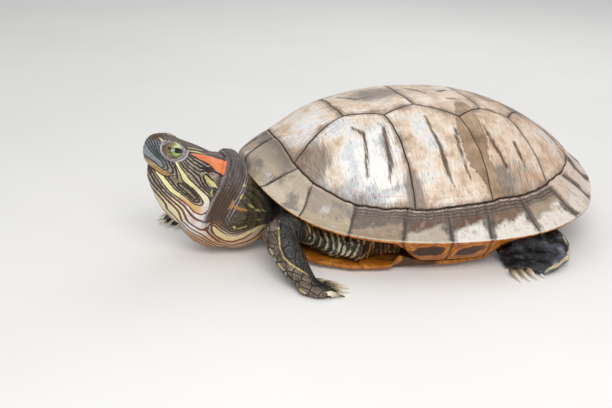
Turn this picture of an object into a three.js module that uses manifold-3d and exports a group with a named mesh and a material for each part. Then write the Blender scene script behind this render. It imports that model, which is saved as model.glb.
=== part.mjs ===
// Red-eared slider turtle, adult, standing still with the belly on the ground and the head raised.
// Units are millimetres, up is +Z, the head points to -X and the animal's left flank to -Y.
// Anatomy is laid out in shell lengths (fwd, left, up) from a point on the ground under mid-shell
// and turned into millimetres by the carapace length.
import * as THREE from 'three';
import { mergeVertices } from 'three/addons/utils/BufferGeometryUtils.js';
import Module from 'manifold-3d';

const wasm = await Module();
wasm.setup();

// ---- driving dimensions ----------------------------------------------------------------------
const CL = 210; // layout length; the straight carapace is 0.965 of it, 203 mm
const GAP = 0.3; // clearance between neighbouring parts, mm
const SCUTE = 2.6; // thickness of horn and bone under each scute, mm
const FLOOR = 0; // level of the belly flat and the soles

// rim of the carapace in plan, in shell lengths
const RIM = { centre: 0.5, front: 0.5, rear: 0.465, width: 0.391, lean: 0.08, power: 0.92 };
// ring seam between the marginals and the plates inside them
const SEAM = { centre: 0.485, front: 0.4, rear: 0.4, width: 0.324, lean: 0.04, power: 0.8 };
// rim height above the ground: level sides, lifted nape, gently lifted rear
const EDGE = { level: 0.102, nape: 0.11, napeFade: 0.08, rear: 0.009, tail: 0.036 };
// height of the back along the midline, nose end of the shell = 0, tail end = 1
const CREST = [[0, 0.234], [0.05, 0.263], [0.11, 0.29], [0.18, 0.3279], [0.27, 0.3539],
  [0.38, 0.368], [0.5, 0.3668], [0.6, 0.3565], [0.7, 0.3302], [0.78, 0.2944],
  [0.86, 0.2432], [0.92, 0.188], [0.965, 0.158]];
// shape of a cross-section: 1 - u^ARCH, raised to a flare that is strongest at the shoulders
const ARCH = 2.67;
const FLARE = { base: 1.45, front: 0.78, fade: 0.22, rear: -0.05 };

// plate corners on the left half: distance from the front, distance from the midline
const V1_CORNER = 0.31; // angle on the ring seam
const V_FRONT = [[0.242, 0.083], [0.425, 0.095], [0.606, 0.112], [0.754, 0.056]];
const V_SIDE = [[0.339, 0.117], [0.53, 0.149], [0.683, 0.132]];
const COSTAL_FOOT = [1.226, 1.73, 2.208]; // where the costal seams meet the ring seam, as angles
const V5_CORNER = 2.732;
// boundaries between the twelve marginals, as angles on the rim and on the ring seam
const M_RIM = [0.0555, 0.284, 0.593, 0.883, 1.157, 1.398, 1.599, 1.903, 2.255, 2.575, 2.77, 2.955, Math.PI];
const M_SEAM = [0.0324, 0.355, 0.5, 0.837, 1.175, 1.428, 1.684, 1.934, 2.208, 2.419, 2.732, 2.94, Math.PI];

// ---- colours ---------------------------------------------------------------------------------
const COLOURS = {
  scute: [0x9a8d80, 0.55], rim: [0x8f8474, 0.55], plastron: [0xc98a2c, 0.5],
  skin: [0x3a3a2c, 0.6], pale: [0x6e6a3c, 0.6], beak: [0x8f8446, 0.45],
  iris: [0x7d8a3c, 0.15], claw: [0xb9a98c, 0.4],
};

// ---- small helpers ---------------------------------------------------------------------------
const V = (x, y, z) => new THREE.Vector3(x, y, z);
const place = (fwd, left, up) => V(-fwd * CL, -left * CL, up * CL);
const clamp = (x, lo, hi) => Math.min(hi, Math.max(lo, x));

function smooth(a, b, x) {
  const t = clamp((x - a) / (b - a), 0, 1);
  return t * t * (3 - 2 * t);
}

// smooth curve through a short list of stations
function through(stations, x) {
  const n = stations.length;
  const slope = (i) => (stations[i + 1][1] - stations[i][1]) / (stations[i + 1][0] - stations[i][0]);
  const tangent = (i) => {
    if (i === 0) return slope(0);
    if (i === n - 1) return slope(n - 2);
    return (slope(i - 1) + slope(i)) / 2;
  };
  let i = 0;
  while (i < n - 2 && x > stations[i + 1][0]) i += 1;
  const h = stations[i + 1][0] - stations[i][0];
  const t = clamp((x - stations[i][0]) / h, 0, 1);
  const a = (2 * t * t * t - 3 * t * t + 1) * stations[i][1];
  const b = (t * t * t - 2 * t * t + t) * h * tangent(i);
  const c = (3 * t * t - 2 * t * t * t) * stations[i + 1][1];
  const d = (t * t * t - t * t) * h * tangent(i + 1);
  return a + b + c + d;
}

// ---- the shell surface -----------------------------------------------------------------------
// point of a ring at an angle: 0 at the front, pi at the rear, negative on the right side
function ringPoint(ring, t) {
  const side = ring.width * Math.abs(Math.sin(t)) ** ring.power * (1 - ring.lean * Math.cos(t));
  const half = Math.cos(t) > 0 ? ring.front : ring.rear;
  return [ring.centre - half * Math.cos(t), Math.sign(t) * side];
}

function ringWidth(ring, s) {
  const c = clamp((ring.centre - s) / (s < ring.centre ? ring.front : ring.rear), -1, 1);
  return ring.width * Math.sqrt(1 - c * c) ** ring.power * (1 - ring.lean * c);
}

const edgeHeight = (s) => EDGE.level + EDGE.nape * Math.exp(-s / EDGE.napeFade)
  + EDGE.rear * smooth(0.62, 0.93, s) + EDGE.tail * smooth(0.88, 0.965, s);

// height of the carapace over a plan point, in shell lengths
function dome(s, side) {
  const u = clamp(Math.abs(side) / Math.max(ringWidth(RIM, s), 1e-5), 0, 1);
  const flare = FLARE.base + FLARE.front * Math.exp(-s / FLARE.fade) + FLARE.rear * smooth(0.68, 0.85, s);
  const low = edgeHeight(s);
  return low + (through(CREST, s) - low) * (1 - u ** ARCH) ** flare;
}

const onDome = (s, side) => place(0.5 - s, side, dome(s, side));

function domeNormal(s, side) {
  const e = 0.004;
  const sx = clamp(s, 0.012, 0.95);
  const inside = Math.sign(side) * Math.min(Math.abs(side), 0.96 * ringWidth(RIM, sx));
  const ds = (dome(sx + e, inside) - dome(sx - e, inside)) / (2 * e);
  const dy = (dome(sx, inside + e) - dome(sx, inside - e)) / (2 * e);
  return V(-ds, dy, 1).normalize();
}

// ---- mesh building ---------------------------------------------------------------------------
function meshFrom(points, faces) {
  const geometry = new THREE.BufferGeometry();
  const data = new Float32Array(points.length * 3);
  points.forEach((p, i) => p.toArray(data, i * 3));
  geometry.setAttribute('position', new THREE.BufferAttribute(data, 3));
  geometry.setIndex(faces.flat());
  return geometry;
}

function signedVolume(geometry) {
  const p = geometry.getAttribute('position');
  const index = geometry.getIndex().array;
  const a = V(0, 0, 0);
  const b = V(0, 0, 0);
  const c = V(0, 0, 0);
  let sum = 0;
  for (let i = 0; i < index.length; i += 3) {
    a.fromBufferAttribute(p, index[i]);
    b.fromBufferAttribute(p, index[i + 1]);
    c.fromBufferAttribute(p, index[i + 2]);
    sum += a.dot(b.cross(c)) / 6;
  }
  return sum;
}

function outward(geometry) {
  if (signedVolume(geometry) > 0) return geometry;
  const index = Array.from(geometry.getIndex().array);
  for (let i = 0; i < index.length; i += 3) {
    const keep = index[i + 1];
    index[i + 1] = index[i + 2];
    index[i + 2] = keep;
  }
  geometry.setIndex(index);
  return geometry;
}

function solidOf(geometry) {
  const g = outward(mergeVertices(geometry, 1e-4));
  return new wasm.Manifold(new wasm.Mesh({
    numProp: 3,
    vertProperties: new Float32Array(g.getAttribute('position').array),
    triVerts: new Uint32Array(g.getIndex().array),
  }));
}

function geometryOf(solid) {
  const m = solid.getMesh();
  const geometry = new THREE.BufferGeometry();
  geometry.setAttribute('position', new THREE.BufferAttribute(new Float32Array(m.vertProperties), 3));
  geometry.setIndex(Array.from(m.triVerts));
  return geometry;
}

// closed body through rings of points that all have the same count
function loft(rings) {
  const n = rings[0].length;
  const points = rings.flat();
  const faces = [];
  for (let r = 0; r < rings.length - 1; r += 1) {
    for (let i = 0; i < n; i += 1) {
      const j = (i + 1) % n;
      const a = r * n + i;
      const b = r * n + j;
      faces.push([a, b, b + n], [a, b + n, a + n]);
    }
  }
  const ends = [[rings[0], 0, true], [rings[rings.length - 1], (rings.length - 1) * n, false]];
  for (const [ring, first, flip] of ends) {
    const hub = ring.reduce((sum, p) => sum.add(p), V(0, 0, 0)).divideScalar(n);
    points.push(hub);
    for (let i = 0; i < n; i += 1) {
      const a = first + i;
      const b = first + ((i + 1) % n);
      faces.push(flip ? [points.length - 1, b, a] : [points.length - 1, a, b]);
    }
  }
  return meshFrom(points, faces);
}

// rounded ring: centre, half-axes as vectors, squareness 1 = ellipse, below 1 = boxier
function oval(centre, across, upward, square, count, grow) {
  const ring = [];
  const a = across.length() + grow;
  const b = upward.length() + grow;
  const u = across.clone().normalize();
  const v = upward.clone().normalize();
  for (let i = 0; i < count; i += 1) {
    const f = (2 * Math.PI * i) / count;
    const x = Math.sign(Math.cos(f)) * Math.abs(Math.cos(f)) ** square;
    const y = Math.sign(Math.sin(f)) * Math.abs(Math.sin(f)) ** square;
    ring.push(centre.clone().addScaledVector(u, a * x).addScaledVector(v, b * y));
  }
  return ring;
}

// body of the head and neck: each station gives its top and bottom in the side view and a width
function profileBody(stations, middle, count, grow) {
  const rings = stations.map(([tf, tz, bf, bz, half, square, shift]) => {
    const left = middle + (shift || 0);
    const top = place(tf, left, tz);
    const low = place(bf, left, bz);
    const centre = top.clone().add(low).multiplyScalar(0.5);
    const upward = top.clone().sub(centre);
    return oval(centre, V(0, half * CL, 0), upward, square || 1, count, grow);
  });
  if (grow > 0) {
    const shove = (ring, other) => {
      const hub = (r) => r.reduce((s, p) => s.add(p), V(0, 0, 0)).divideScalar(r.length);
      const dir = hub(ring).sub(hub(other)).normalize().multiplyScalar(grow);
      ring.forEach((p) => p.add(dir));
    };
    shove(rings[0], rings[1]);
    shove(rings[rings.length - 1], rings[rings.length - 2]);
  }
  return loft(rings);
}

// limb through stations [fwd, left, up, half width, half height] with a bent centre line
function limbBody(stations, count, grow, square) {
  const at = stations.map(([f, l, u]) => place(f, l, u));
  const rings = stations.map((s, i) => {
    const along = at[Math.min(i + 1, at.length - 1)].clone().sub(at[Math.max(i - 1, 0)]).normalize();
    const across = V(0, 0, 1).cross(along).normalize();
    const upward = along.clone().cross(across).normalize();
    const shift = i === 0 ? -grow : (i === at.length - 1 ? grow : 0);
    const centre = at[i].clone().addScaledVector(along, shift);
    across.multiplyScalar(s[3] * CL);
    upward.multiplyScalar(s[4] * CL);
    return oval(centre, across, upward, square || 1, count, grow);
  });
  return loft(rings);
}

// ---- shell plates ----------------------------------------------------------------------------
function line(a, b, bulge, count) {
  const out = [];
  const nx = b[1] - a[1];
  const ny = a[0] - b[0];
  for (let i = 0; i < count; i += 1) {
    const t = i / count;
    const k = bulge * 4 * t * (1 - t);
    out.push([a[0] + (b[0] - a[0]) * t + nx * k, a[1] + (b[1] - a[1]) * t + ny * k]);
  }
  return out;
}

function arc(t0, t1, count) {
  const out = [];
  for (let i = 0; i < count; i += 1) out.push(ringPoint(SEAM, t0 + ((t1 - t0) * i) / count));
  return out;
}

// plan outline moved inward by a distance in shell lengths
function inset(outline, distance) {
  const n = outline.length;
  let area = 0;
  for (let i = 0; i < n; i += 1) {
    const [ax, ay] = outline[i];
    const [bx, by] = outline[(i + 1) % n];
    area += ax * by - bx * ay;
  }
  const turn = area > 0 ? 1 : -1;
  return outline.map((p, i) => {
    const before = outline[(i + n - 1) % n];
    const after = outline[(i + 1) % n];
    const d1 = new THREE.Vector2(p[0] - before[0], p[1] - before[1]).normalize();
    const d2 = new THREE.Vector2(after[0] - p[0], after[1] - p[1]).normalize();
    const n1 = new THREE.Vector2(-d1.y, d1.x).multiplyScalar(turn);
    const n2 = new THREE.Vector2(-d2.y, d2.x).multiplyScalar(turn);
    const bisector = n1.clone().add(n2).normalize();
    const reach = distance / Math.max(bisector.dot(n1), 0.4);
    return [p[0] + bisector.x * reach, p[1] + bisector.y * reach];
  });
}

// plate over a plan outline: outer face on the dome, inner face one thickness below it
function scute(outline) {
  const edge = inset(outline, GAP / 2 / CL);
  const n = edge.length;
  const hub = [0, 1].map((k) => edge.reduce((s, p) => s + p[k], 0) / n);
  const ringAt = (k) => edge.map((p) => [hub[0] + (p[0] - hub[0]) * k, hub[1] + (p[1] - hub[1]) * k]);
  const outer = (p) => onDome(p[0], p[1]);
  const inner = (p) => onDome(p[0], p[1]).addScaledVector(domeNormal(p[0], p[1]), -SCUTE);
  const points = [];
  const faces = [];
  const add = (list, lift) => {
    const first = points.length;
    list.forEach((p) => points.push(lift(p)));
    return first;
  };
  const bridge = (a, b) => {
    for (let i = 0; i < n; i += 1) {
      const j = (i + 1) % n;
      faces.push([a + i, a + j, b + j], [a + i, b + j, b + i]);
    }
  };
  const rims = [add(edge, inner), add(edge, outer), add(ringAt(0.55), outer)];
  for (let k = 0; k < rims.length - 1; k += 1) bridge(rims[k], rims[k + 1]);
  const low = add([hub], inner);
  const high = add([hub], outer);
  for (let i = 0; i < n; i += 1) {
    const j = (i + 1) % n;
    faces.push([low, rims[0] + j, rims[0] + i], [high, rims[2] + i, rims[2] + j]);
  }
  return meshFrom(points, faces);
}

const mirror = (list) => list.map(([s, side]) => [s, -side]);
const v1Corner = ringPoint(SEAM, V1_CORNER);
const v5Corner = ringPoint(SEAM, V5_CORNER);
const foot = COSTAL_FOOT.map((t) => ringPoint(SEAM, t));

// left edge of each vertebral from front to rear, then the same on the right from rear to front
const vertebralSides = [
  [v1Corner, V_FRONT[0]],
  [V_FRONT[0], V_SIDE[0], V_FRONT[1]],
  [V_FRONT[1], V_SIDE[1], V_FRONT[2]],
  [V_FRONT[2], V_SIDE[2], V_FRONT[3]],
  [V_FRONT[3], v5Corner],
];

function vertebral(k) {
  const left = vertebralSides[k];
  const out = [];
  const steps = left.length > 2 ? 3 : 5;
  for (let i = 0; i < left.length - 1; i += 1) out.push(...line(left[i], left[i + 1], 0.03, steps));
  const rear = left[left.length - 1];
  if (k === 4) out.push(...arc(V5_CORNER, Math.PI, 5), ...arc(-Math.PI, -V5_CORNER, 5));
  else out.push(...line(rear, [rear[0], -rear[1]], 0.04, 5));
  const right = mirror(left).reverse();
  for (let i = 0; i < right.length - 1; i += 1) out.push(...line(right[i], right[i + 1], 0.03, steps));
  const front = left[0];
  if (k === 0) out.push(...arc(-V1_CORNER, V1_CORNER, 6));
  else out.push(...line([front[0], -front[1]], front, -0.04, 5));
  return out;
}

function costal(k, side) {
  const top = [
    [v1Corner, V_FRONT[0], V_SIDE[0]],
    [V_SIDE[0], V_FRONT[1], V_SIDE[1]],
    [V_SIDE[1], V_FRONT[2], V_SIDE[2]],
    [V_SIDE[2], V_FRONT[3], v5Corner],
  ][k];
  const from = k === 0 ? V1_CORNER : COSTAL_FOOT[k - 1];
  const to = k === 3 ? V5_CORNER : COSTAL_FOOT[k];
  const out = [];
  for (let i = 0; i < 2; i += 1) {
    const long = (k === 0 && i === 0) || (k === 3 && i === 1);
    out.push(...line(top[i], top[i + 1], 0.03, long ? 5 : 3));
  }
  if (k < 3) out.push(...line(top[2], foot[k], 0.05, 5));
  out.push(...arc(to, from, 6));
  if (k > 0) out.push(...line(foot[k - 1], top[0], -0.05, 5));
  return side > 0 ? out : mirror(out);
}

// underside of the rim: level and skin-deep at the leg openings, dropping to the bridge between them
const bridgeDrop = (s) => 0.06 * smooth(0.24, 0.35, s) * (1 - smooth(0.5, 0.66, s));

// one cross-section of the rim at matching angles on the rim and on the ring seam
function rimSection(rimAngle, seamAngle, sink, grow, lowest) {
  const keep = (p) => [p[0], Math.sign(rimAngle) * Math.max(Math.abs(p[1]), lowest)];
  const rim = ringPoint(RIM, rimAngle);
  const seam = ringPoint(SEAM, seamAngle);
  const mix = (q) => keep([rim[0] + (seam[0] - rim[0]) * q, rim[1] + (seam[1] - rim[1]) * q]);
  const outwardPlan = new THREE.Vector2(rim[0] - seam[0], rim[1] - seam[1]);
  const span = outwardPlan.length() * CL;
  outwardPlan.normalize();
  const seamGap = (GAP / 2 - grow) / span;
  const ring = [];
  for (const q of [1 - seamGap, 0.58, 0.12]) {
    const p = mix(q);
    ring.push(onDome(p[0], p[1]).addScaledVector(domeNormal(p[0], p[1]), grow - sink));
  }
  const s = rim[0];
  const under = (q, drop) => {
    const p = mix(q);
    return place(0.5 - p[0], p[1], edgeHeight(s) - drop).add(V(0, 0, -grow));
  };
  const lip = mix(-grow / span);
  ring.push(place(0.5 - lip[0], lip[1], edgeHeight(s) - 0.002).add(V(0, 0, -sink)));
  ring.push(under(0.06, 0.012));
  ring.push(under(0.4, 0.014 + 0.55 * bridgeDrop(s)));
  ring.push(under(0.78, 0.010 + bridgeDrop(s)));
  const deep = mix(0.985 + grow / span);
  const roof = onDome(deep[0], deep[1]).add(V(0, 0, -SCUTE * 2.2 - grow));
  ring.push(roof);
  return ring;
}

function marginals(side, grow) {
  const rings = [];
  const lowest = (GAP / 2 - (grow > 0 ? GAP / 2 : 0)) / CL;
  for (let k = 0; k < 12; k += 1) {
    const inner = [2, 3, 9].includes(k) ? [0, 0.06, 0.5, 0.94] : [0, 0.07, 0.93];
    const steps = k === 11 ? [0, 0.07, 0.55, 1] : inner;
    for (const f of steps) {
      const sunk = f === 0 && k > 0 && grow === 0 ? 0.6 : 0;
      const a = M_RIM[k] + (M_RIM[k + 1] - M_RIM[k]) * f;
      const b = M_SEAM[k] + (M_SEAM[k + 1] - M_SEAM[k]) * f;
      const last = k === 11 && f === 1 ? 1e-3 : 0;
      rings.push(rimSection(side * (a - last), side * (b - last), sunk, grow, lowest));
    }
  }
  return loft(rings);
}

function cervical(grow) {
  const rings = [];
  const wide = 1 - (GAP - grow) / (0.025 * CL);
  for (const f of [-1, 0, 1]) {
    const a = f * M_RIM[0];
    const b = f * M_SEAM[0];
    const ring = rimSection(a || 1e-6, b || 1e-6, 0, grow, 0);
    ring.forEach((p) => { p.y = f === 0 ? 0 : p.y * wide; });
    rings.push(ring);
  }
  return loft(rings);
}

// ---- belly plate and the bridges that carry it -----------------------------------------------
const lobeWidth = (s) => through([[0.035, 0.09], [0.07, 0.157], [0.116, 0.218], [0.15, 0.25], [0.2, 0.277],
  [0.27, 0.296], [0.36, 0.3], [0.5, 0.285], [0.64, 0.262], [0.72, 0.232], [0.82, 0.2], [0.885, 0.15],
  [0.92, 0.07]], s);
const bellyLift = (s) => 0.022 * (1 - smooth(0.03, 0.16, s)) + 0.016 * smooth(0.82, 0.93, s);
const BELLY = 0.021; // thickness of the belly plate, shell lengths

function bellySection(s, grow) {
  const g = grow / CL;
  const w = lobeWidth(s) + g;
  const low = bellyLift(s) - g;
  const bridge = smooth(0.295, 0.315, s) * (1 - smooth(0.655, 0.675, s));
  const reachOut = ringWidth(RIM, s) - 0.058 * (ringWidth(RIM, s) / 0.389) - 0.003;
  const endSide = w + bridge * (Math.max(reachOut, w) - w);
  const underRim = edgeHeight(s) - 0.0125 - bridgeDrop(s) - GAP * 1.6 / CL;
  const endLow = low + 0.011 + bridge * (underRim - 0.012 - low - 0.011);
  const endHigh = low + BELLY - 0.002 + 2 * g + bridge * (underRim - low - BELLY + 0.002);
  const half = [[0.35 * w, low], [0.72 * w, low], [0.93 * w, low + 0.004], [endSide, endLow],
    [endSide, endHigh], [0.9 * w, low + BELLY + 2 * g], [0.5 * w, low + BELLY + 2 * g]];
  const ring = half.map(([side, up]) => place(0.5 - s, side, up));
  const other = half.slice().reverse().map(([side, up]) => place(0.5 - s, -side, up));
  return [...ring, ...other];
}

function plastron(grow) {
  const stations = [0.035, 0.048, 0.08, 0.13, 0.2, 0.26, 0.295, 0.315, 0.39, 0.46, 0.53, 0.6, 0.655,
    0.675, 0.73, 0.79, 0.845, 0.885, 0.908, 0.92];
  return loft(stations.map((s) => bellySection(s, grow)));
}

// ---- body filling the shell ------------------------------------------------------------------
function trunk(grow) {
  const g = grow / CL;
  const stations = [0.085, 0.115, 0.16, 0.22, 0.28, 0.34, 0.42, 0.5, 0.58, 0.66, 0.72, 0.78, 0.83, 0.87];
  const rings = stations.map((s) => {
    const wide = Math.max(ringWidth(SEAM, s) - 0.026, 0.092) + g;
    const floor = bellyLift(s) + BELLY + 0.0022 - g;
    const roof = (q) => dome(s, Math.min(q * wide, wide)) - 0.036 + g;
    const belly = Math.min(lobeWidth(s) * 0.86, wide) + g;
    // the fold of skin behind each fore leg bulges out almost to the rim
    const fold = Math.exp(-(((s - 0.2) / 0.052) ** 2));
    const flank = Math.min(0.24 + 0.055 * fold, ringWidth(RIM, s) - 0.035 + 0.014 * fold) + g;
    const pleat = belly + (flank - 0.016 - belly) * fold;
    const top = Math.max(roof(0.97), 0.1);
    const sideHigh = Math.min(edgeHeight(s) + 0.012, top - 0.01);
    const half = [[0.45 * belly, floor], [pleat, floor], [flank, floor + 0.03 - 0.012 * fold],
      [flank - 0.002 + 0.001 * fold, floor + 0.044 + 0.012 * fold], [Math.min(flank + 0.008, wide), sideHigh],
      [wide, top], [0.8 * wide, roof(0.8)], [0.55 * wide, roof(0.55)], [0.26 * wide, roof(0.26)]];
    const left = half.map(([side, up]) => place(0.5 - s, side, up));
    const right = half.slice().reverse().map(([side, up]) => place(0.5 - s, -side, up));
    return [...left, ...right];
  });
  return loft(rings);
}

// ---- head and neck ---------------------------------------------------------------------------
const HEAD_SIDE = 0.045; // the head is held a little to the left of the midline

const SKULL = [
  [0.583, 0.258, 0.628, 0.150, 0.066, 0.9], [0.598, 0.266, 0.648, 0.158, 0.078, 0.88],
  [0.622, 0.278, 0.668, 0.176, 0.080, 0.88], [0.648, 0.290, 0.688, 0.200, 0.073, 0.9],
  [0.675, 0.304, 0.706, 0.218, 0.062, 0.9], [0.702, 0.315, 0.724, 0.231, 0.050, 0.92],
  [0.726, 0.314, 0.738, 0.240, 0.038, 0.95], [0.741, 0.303, 0.746, 0.248, 0.026, 1],
  [0.749, 0.288, 0.750, 0.262, 0.013, 1],
];
const JAW = [
  [0.655, 0.172, 0.655, 0.075, 0.066, 0.95], [0.678, 0.192, 0.684, 0.092, 0.064, 0.95],
  [0.703, 0.216, 0.710, 0.122, 0.050, 0.95], [0.722, 0.230, 0.727, 0.158, 0.037, 0.95],
  [0.735, 0.238, 0.738, 0.190, 0.024, 1], [0.741, 0.238, 0.743, 0.212, 0.012, 1],
];
const THROAT = [
  [0.548, 0.255, 0.556, 0.010, 0.086, 0.86], [0.575, 0.256, 0.596, 0.010, 0.084, 0.88],
  [0.600, 0.262, 0.634, 0.030, 0.078, 0.9], [0.634, 0.240, 0.664, 0.062, 0.068, 0.95],
];
const NAPE = [
  [0.4125, 0.19, 0.4125, 0.045, 0.078, 0.9, -0.022], [0.452, 0.195, 0.45, 0.022, 0.084, 0.88, -0.015],
  [0.492, 0.197, 0.486, 0.010, 0.088, 0.86, -0.008], [0.507, 0.240, 0.500, 0.006, 0.092, 0.84, -0.004],
  [0.523, 0.258, 0.522, 0.005, 0.096, 0.84], [0.545, 0.260, 0.552, 0.006, 0.095, 0.84],
];
const skull = (grow) => profileBody(SKULL, HEAD_SIDE, 18, grow);
const jaw = (grow) => profileBody(JAW, HEAD_SIDE, 16, grow);
const throat = (grow) => profileBody(THROAT, HEAD_SIDE, 18, grow);
const nape = (grow) => profileBody(NAPE, HEAD_SIDE, 18, grow);

const EYE = { fwd: 0.687, up: 0.277, side: 0.036, radius: 5.6 };
function eye(side, grow) {
  const ball = new THREE.SphereGeometry(EYE.radius + grow, 10, 6);
  ball.rotateX(side * Math.PI / 2);
  const at = place(EYE.fwd, HEAD_SIDE + side * EYE.side, EYE.up);
  ball.translate(at.x, at.y, at.z);
  ball.deleteAttribute('normal');
  ball.deleteAttribute('uv');
  return ball;
}

// ---- limbs -----------------------------------------------------------------------------------
// every limb: upper segment, lower segment, foot blade and claws, in [fwd, left, up, half width, half height]
const LIMBS = {
  fore_left: {
    upper: [[0.375, 0.15, 0.095, 0.05, 0.042], [0.43, 0.188, 0.098, 0.05, 0.042],
      [0.462, 0.217, 0.093, 0.046, 0.044], [0.458, 0.246, 0.066, 0.040, 0.040]],
    lower: [[0.458, 0.238, 0.085, 0.036, 0.036], [0.452, 0.268, 0.055, 0.040, 0.034],
      [0.444, 0.302, 0.034, 0.036, 0.026], [0.434, 0.335, 0.018, 0.030, 0.020]],
    foot: [[0.440, 0.322, 0.020, 0.026, 0.019], [0.432, 0.346, 0.014, 0.034, 0.017],
      [0.412, 0.364, 0.011, 0.036, 0.014], [0.388, 0.364, 0.009, 0.032, 0.010],
      [0.376, 0.362, 0.008, 0.024, 0.006]],
    toes: { centre: [0.392, 0.356], count: 5, pitch: 0.0168, splay: 0.07, sweep: 0.0065,
      heading: [-1, 0.02] },
    claw: 0.058,
  },
  fore_right: {
    upper: [[0.375, -0.15, 0.095, 0.05, 0.042], [0.43, -0.19, 0.094, 0.05, 0.042],
      [0.475, -0.212, 0.088, 0.044, 0.042], [0.505, -0.222, 0.070, 0.038, 0.038]],
    lower: [[0.492, -0.220, 0.084, 0.034, 0.034], [0.530, -0.212, 0.056, 0.036, 0.032],
      [0.568, -0.196, 0.034, 0.033, 0.025], [0.596, -0.180, 0.020, 0.028, 0.020]],
    foot: [[0.584, -0.186, 0.021, 0.026, 0.019], [0.606, -0.174, 0.014, 0.034, 0.017],
      [0.630, -0.160, 0.011, 0.036, 0.014], [0.648, -0.149, 0.009, 0.032, 0.010],
      [0.656, -0.144, 0.008, 0.024, 0.006]],
    toes: { centre: [0.628, -0.158], count: 5, pitch: 0.0178, splay: 0.12, sweep: 0.005, heading: [1, 0.2] },
    claw: 0.056,
  },
  hind_left: {
    upper: [[-0.235, 0.14, 0.085, 0.05, 0.042], [-0.17, 0.20, 0.083, 0.054, 0.042],
      [-0.125, 0.25, 0.072, 0.046, 0.040], [-0.118, 0.278, 0.058, 0.036, 0.034]],
    lower: [[-0.128, 0.262, 0.066, 0.034, 0.032], [-0.160, 0.292, 0.054, 0.040, 0.030],
      [-0.186, 0.310, 0.044, 0.038, 0.026], [-0.200, 0.322, 0.036, 0.032, 0.022]],
    foot: [[-0.194, 0.262, 0.044, 0.090, 0.024], [-0.178, 0.305, 0.034, 0.100, 0.024],
      [-0.155, 0.348, 0.023, 0.092, 0.019], [-0.120, 0.383, 0.013, 0.066, 0.013],
      [-0.106, 0.400, 0.009, 0.050, 0.007]],
    toes: { centre: [-0.100, 0.392], count: 4, pitch: 0.02, splay: 0.05, sweep: 0.002, heading: [-0.1, 1] },
    claw: 0.056,
  },
  hind_right: {
    upper: [[-0.235, -0.14, 0.085, 0.05, 0.042], [-0.20, -0.20, 0.083, 0.054, 0.042],
      [-0.185, -0.25, 0.072, 0.046, 0.040], [-0.190, -0.278, 0.058, 0.036, 0.034]],
    lower: [[-0.194, -0.262, 0.066, 0.034, 0.032], [-0.222, -0.290, 0.054, 0.040, 0.030],
      [-0.250, -0.308, 0.044, 0.038, 0.026], [-0.268, -0.320, 0.036, 0.032, 0.022]],
    foot: [[-0.262, -0.262, 0.040, 0.100, 0.026], [-0.276, -0.302, 0.032, 0.106, 0.026],
      [-0.288, -0.345, 0.022, 0.096, 0.021], [-0.296, -0.388, 0.013, 0.068, 0.014],
      [-0.298, -0.408, 0.009, 0.048, 0.007]],
    toes: { centre: [-0.262, -0.392], count: 4, pitch: 0.02, splay: 0.06, sweep: 0.002, heading: [-0.1, -1] },
    claw: 0.056,
  },
};

const TAIL = [
  [-0.374, -0.015, 0.060, 0.034, 0.027], [-0.405, -0.03, 0.056, 0.030, 0.025],
  [-0.438, -0.075, 0.048, 0.022, 0.019], [-0.440, -0.13, 0.040, 0.014, 0.013],
  [-0.425, -0.178, 0.034, 0.007, 0.007],
];

// curved, tapering claws in a fan: each starts inside the toe and ends just above the ground
function claws(toes, length) {
  const base = Math.atan2(toes.heading[1], toes.heading[0]);
  const rise = [0.0125, 0.0128, 0.004];
  const thick = [0.0088, 0.0078, 0.0012];
  const reach = [0, 0.45, 1];
  return Array.from({ length: toes.count }, (_, i) => {
    const k = i - (toes.count - 1) / 2;
    const turn = base + k * toes.splay;
    const dir = [Math.cos(turn), Math.sin(turn)];
    const back = toes.sweep * k * k;
    const root = [toes.centre[0] - Math.sin(base) * k * toes.pitch - Math.cos(base) * back,
      toes.centre[1] + Math.cos(base) * k * toes.pitch - Math.sin(base) * back];
    const across = V(dir[1], -dir[0], 0);
    return loft(reach.map((t, j) => oval(
      place(root[0] + dir[0] * length * t, root[1] + dir[1] * length * t, rise[j]),
      across.clone().multiplyScalar(thick[j] * CL * 0.8), V(0, 0, thick[j] * CL), 1, 6, 0)));
  });
}

// ---- assembly --------------------------------------------------------------------------------
const group = new THREE.Group();
group.name = 'red_eared_slider';

const materials = {};
for (const [name, [colour, roughness]] of Object.entries(COLOURS)) {
  materials[name] = new THREE.MeshStandardMaterial({ color: colour, roughness, metalness: 0 });
  materials[name].name = name;
}

function node(name, geometry, slot) {
  const clean = mergeVertices(geometry, 1e-4);
  const mesh = new THREE.Mesh(outward(clean), materials[slot].clone());
  mesh.name = name;
  group.add(mesh);
}

for (let k = 0; k < 5; k += 1) node(`vertebral_${k + 1}`, scute(vertebral(k)), 'scute');
for (let k = 0; k < 4; k += 1) {
  node(`costal_left_${k + 1}`, scute(costal(k, 1)), 'scute');
  node(`costal_right_${k + 1}`, scute(costal(k, -1)), 'scute');
}
node('cervical', cervical(0), 'rim');
node('marginals_left', marginals(1, 0), 'rim');
node('marginals_right', marginals(-1, 0), 'rim');
node('plastron', plastron(0), 'plastron');

// soft parts: each is cut back from the ones before it, so that they meet with a hair of clearance
const ground = FLOOR;
const above = (solid) => solid.trimByPlane([0, 0, 1], ground);
const shellGuard = [marginals(1, GAP), marginals(-1, GAP), cervical(GAP), plastron(GAP)].map(solidOf);
const carve = (solid, cutters) => cutters.reduce((rest, cutter) => rest.subtract(cutter), solid);
// only the largest remaining piece is kept
function biggest(solid) {
  const pieces = solid.decompose();
  return pieces.reduce((a, b) => (b.volume() > a.volume() ? b : a));
}

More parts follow.
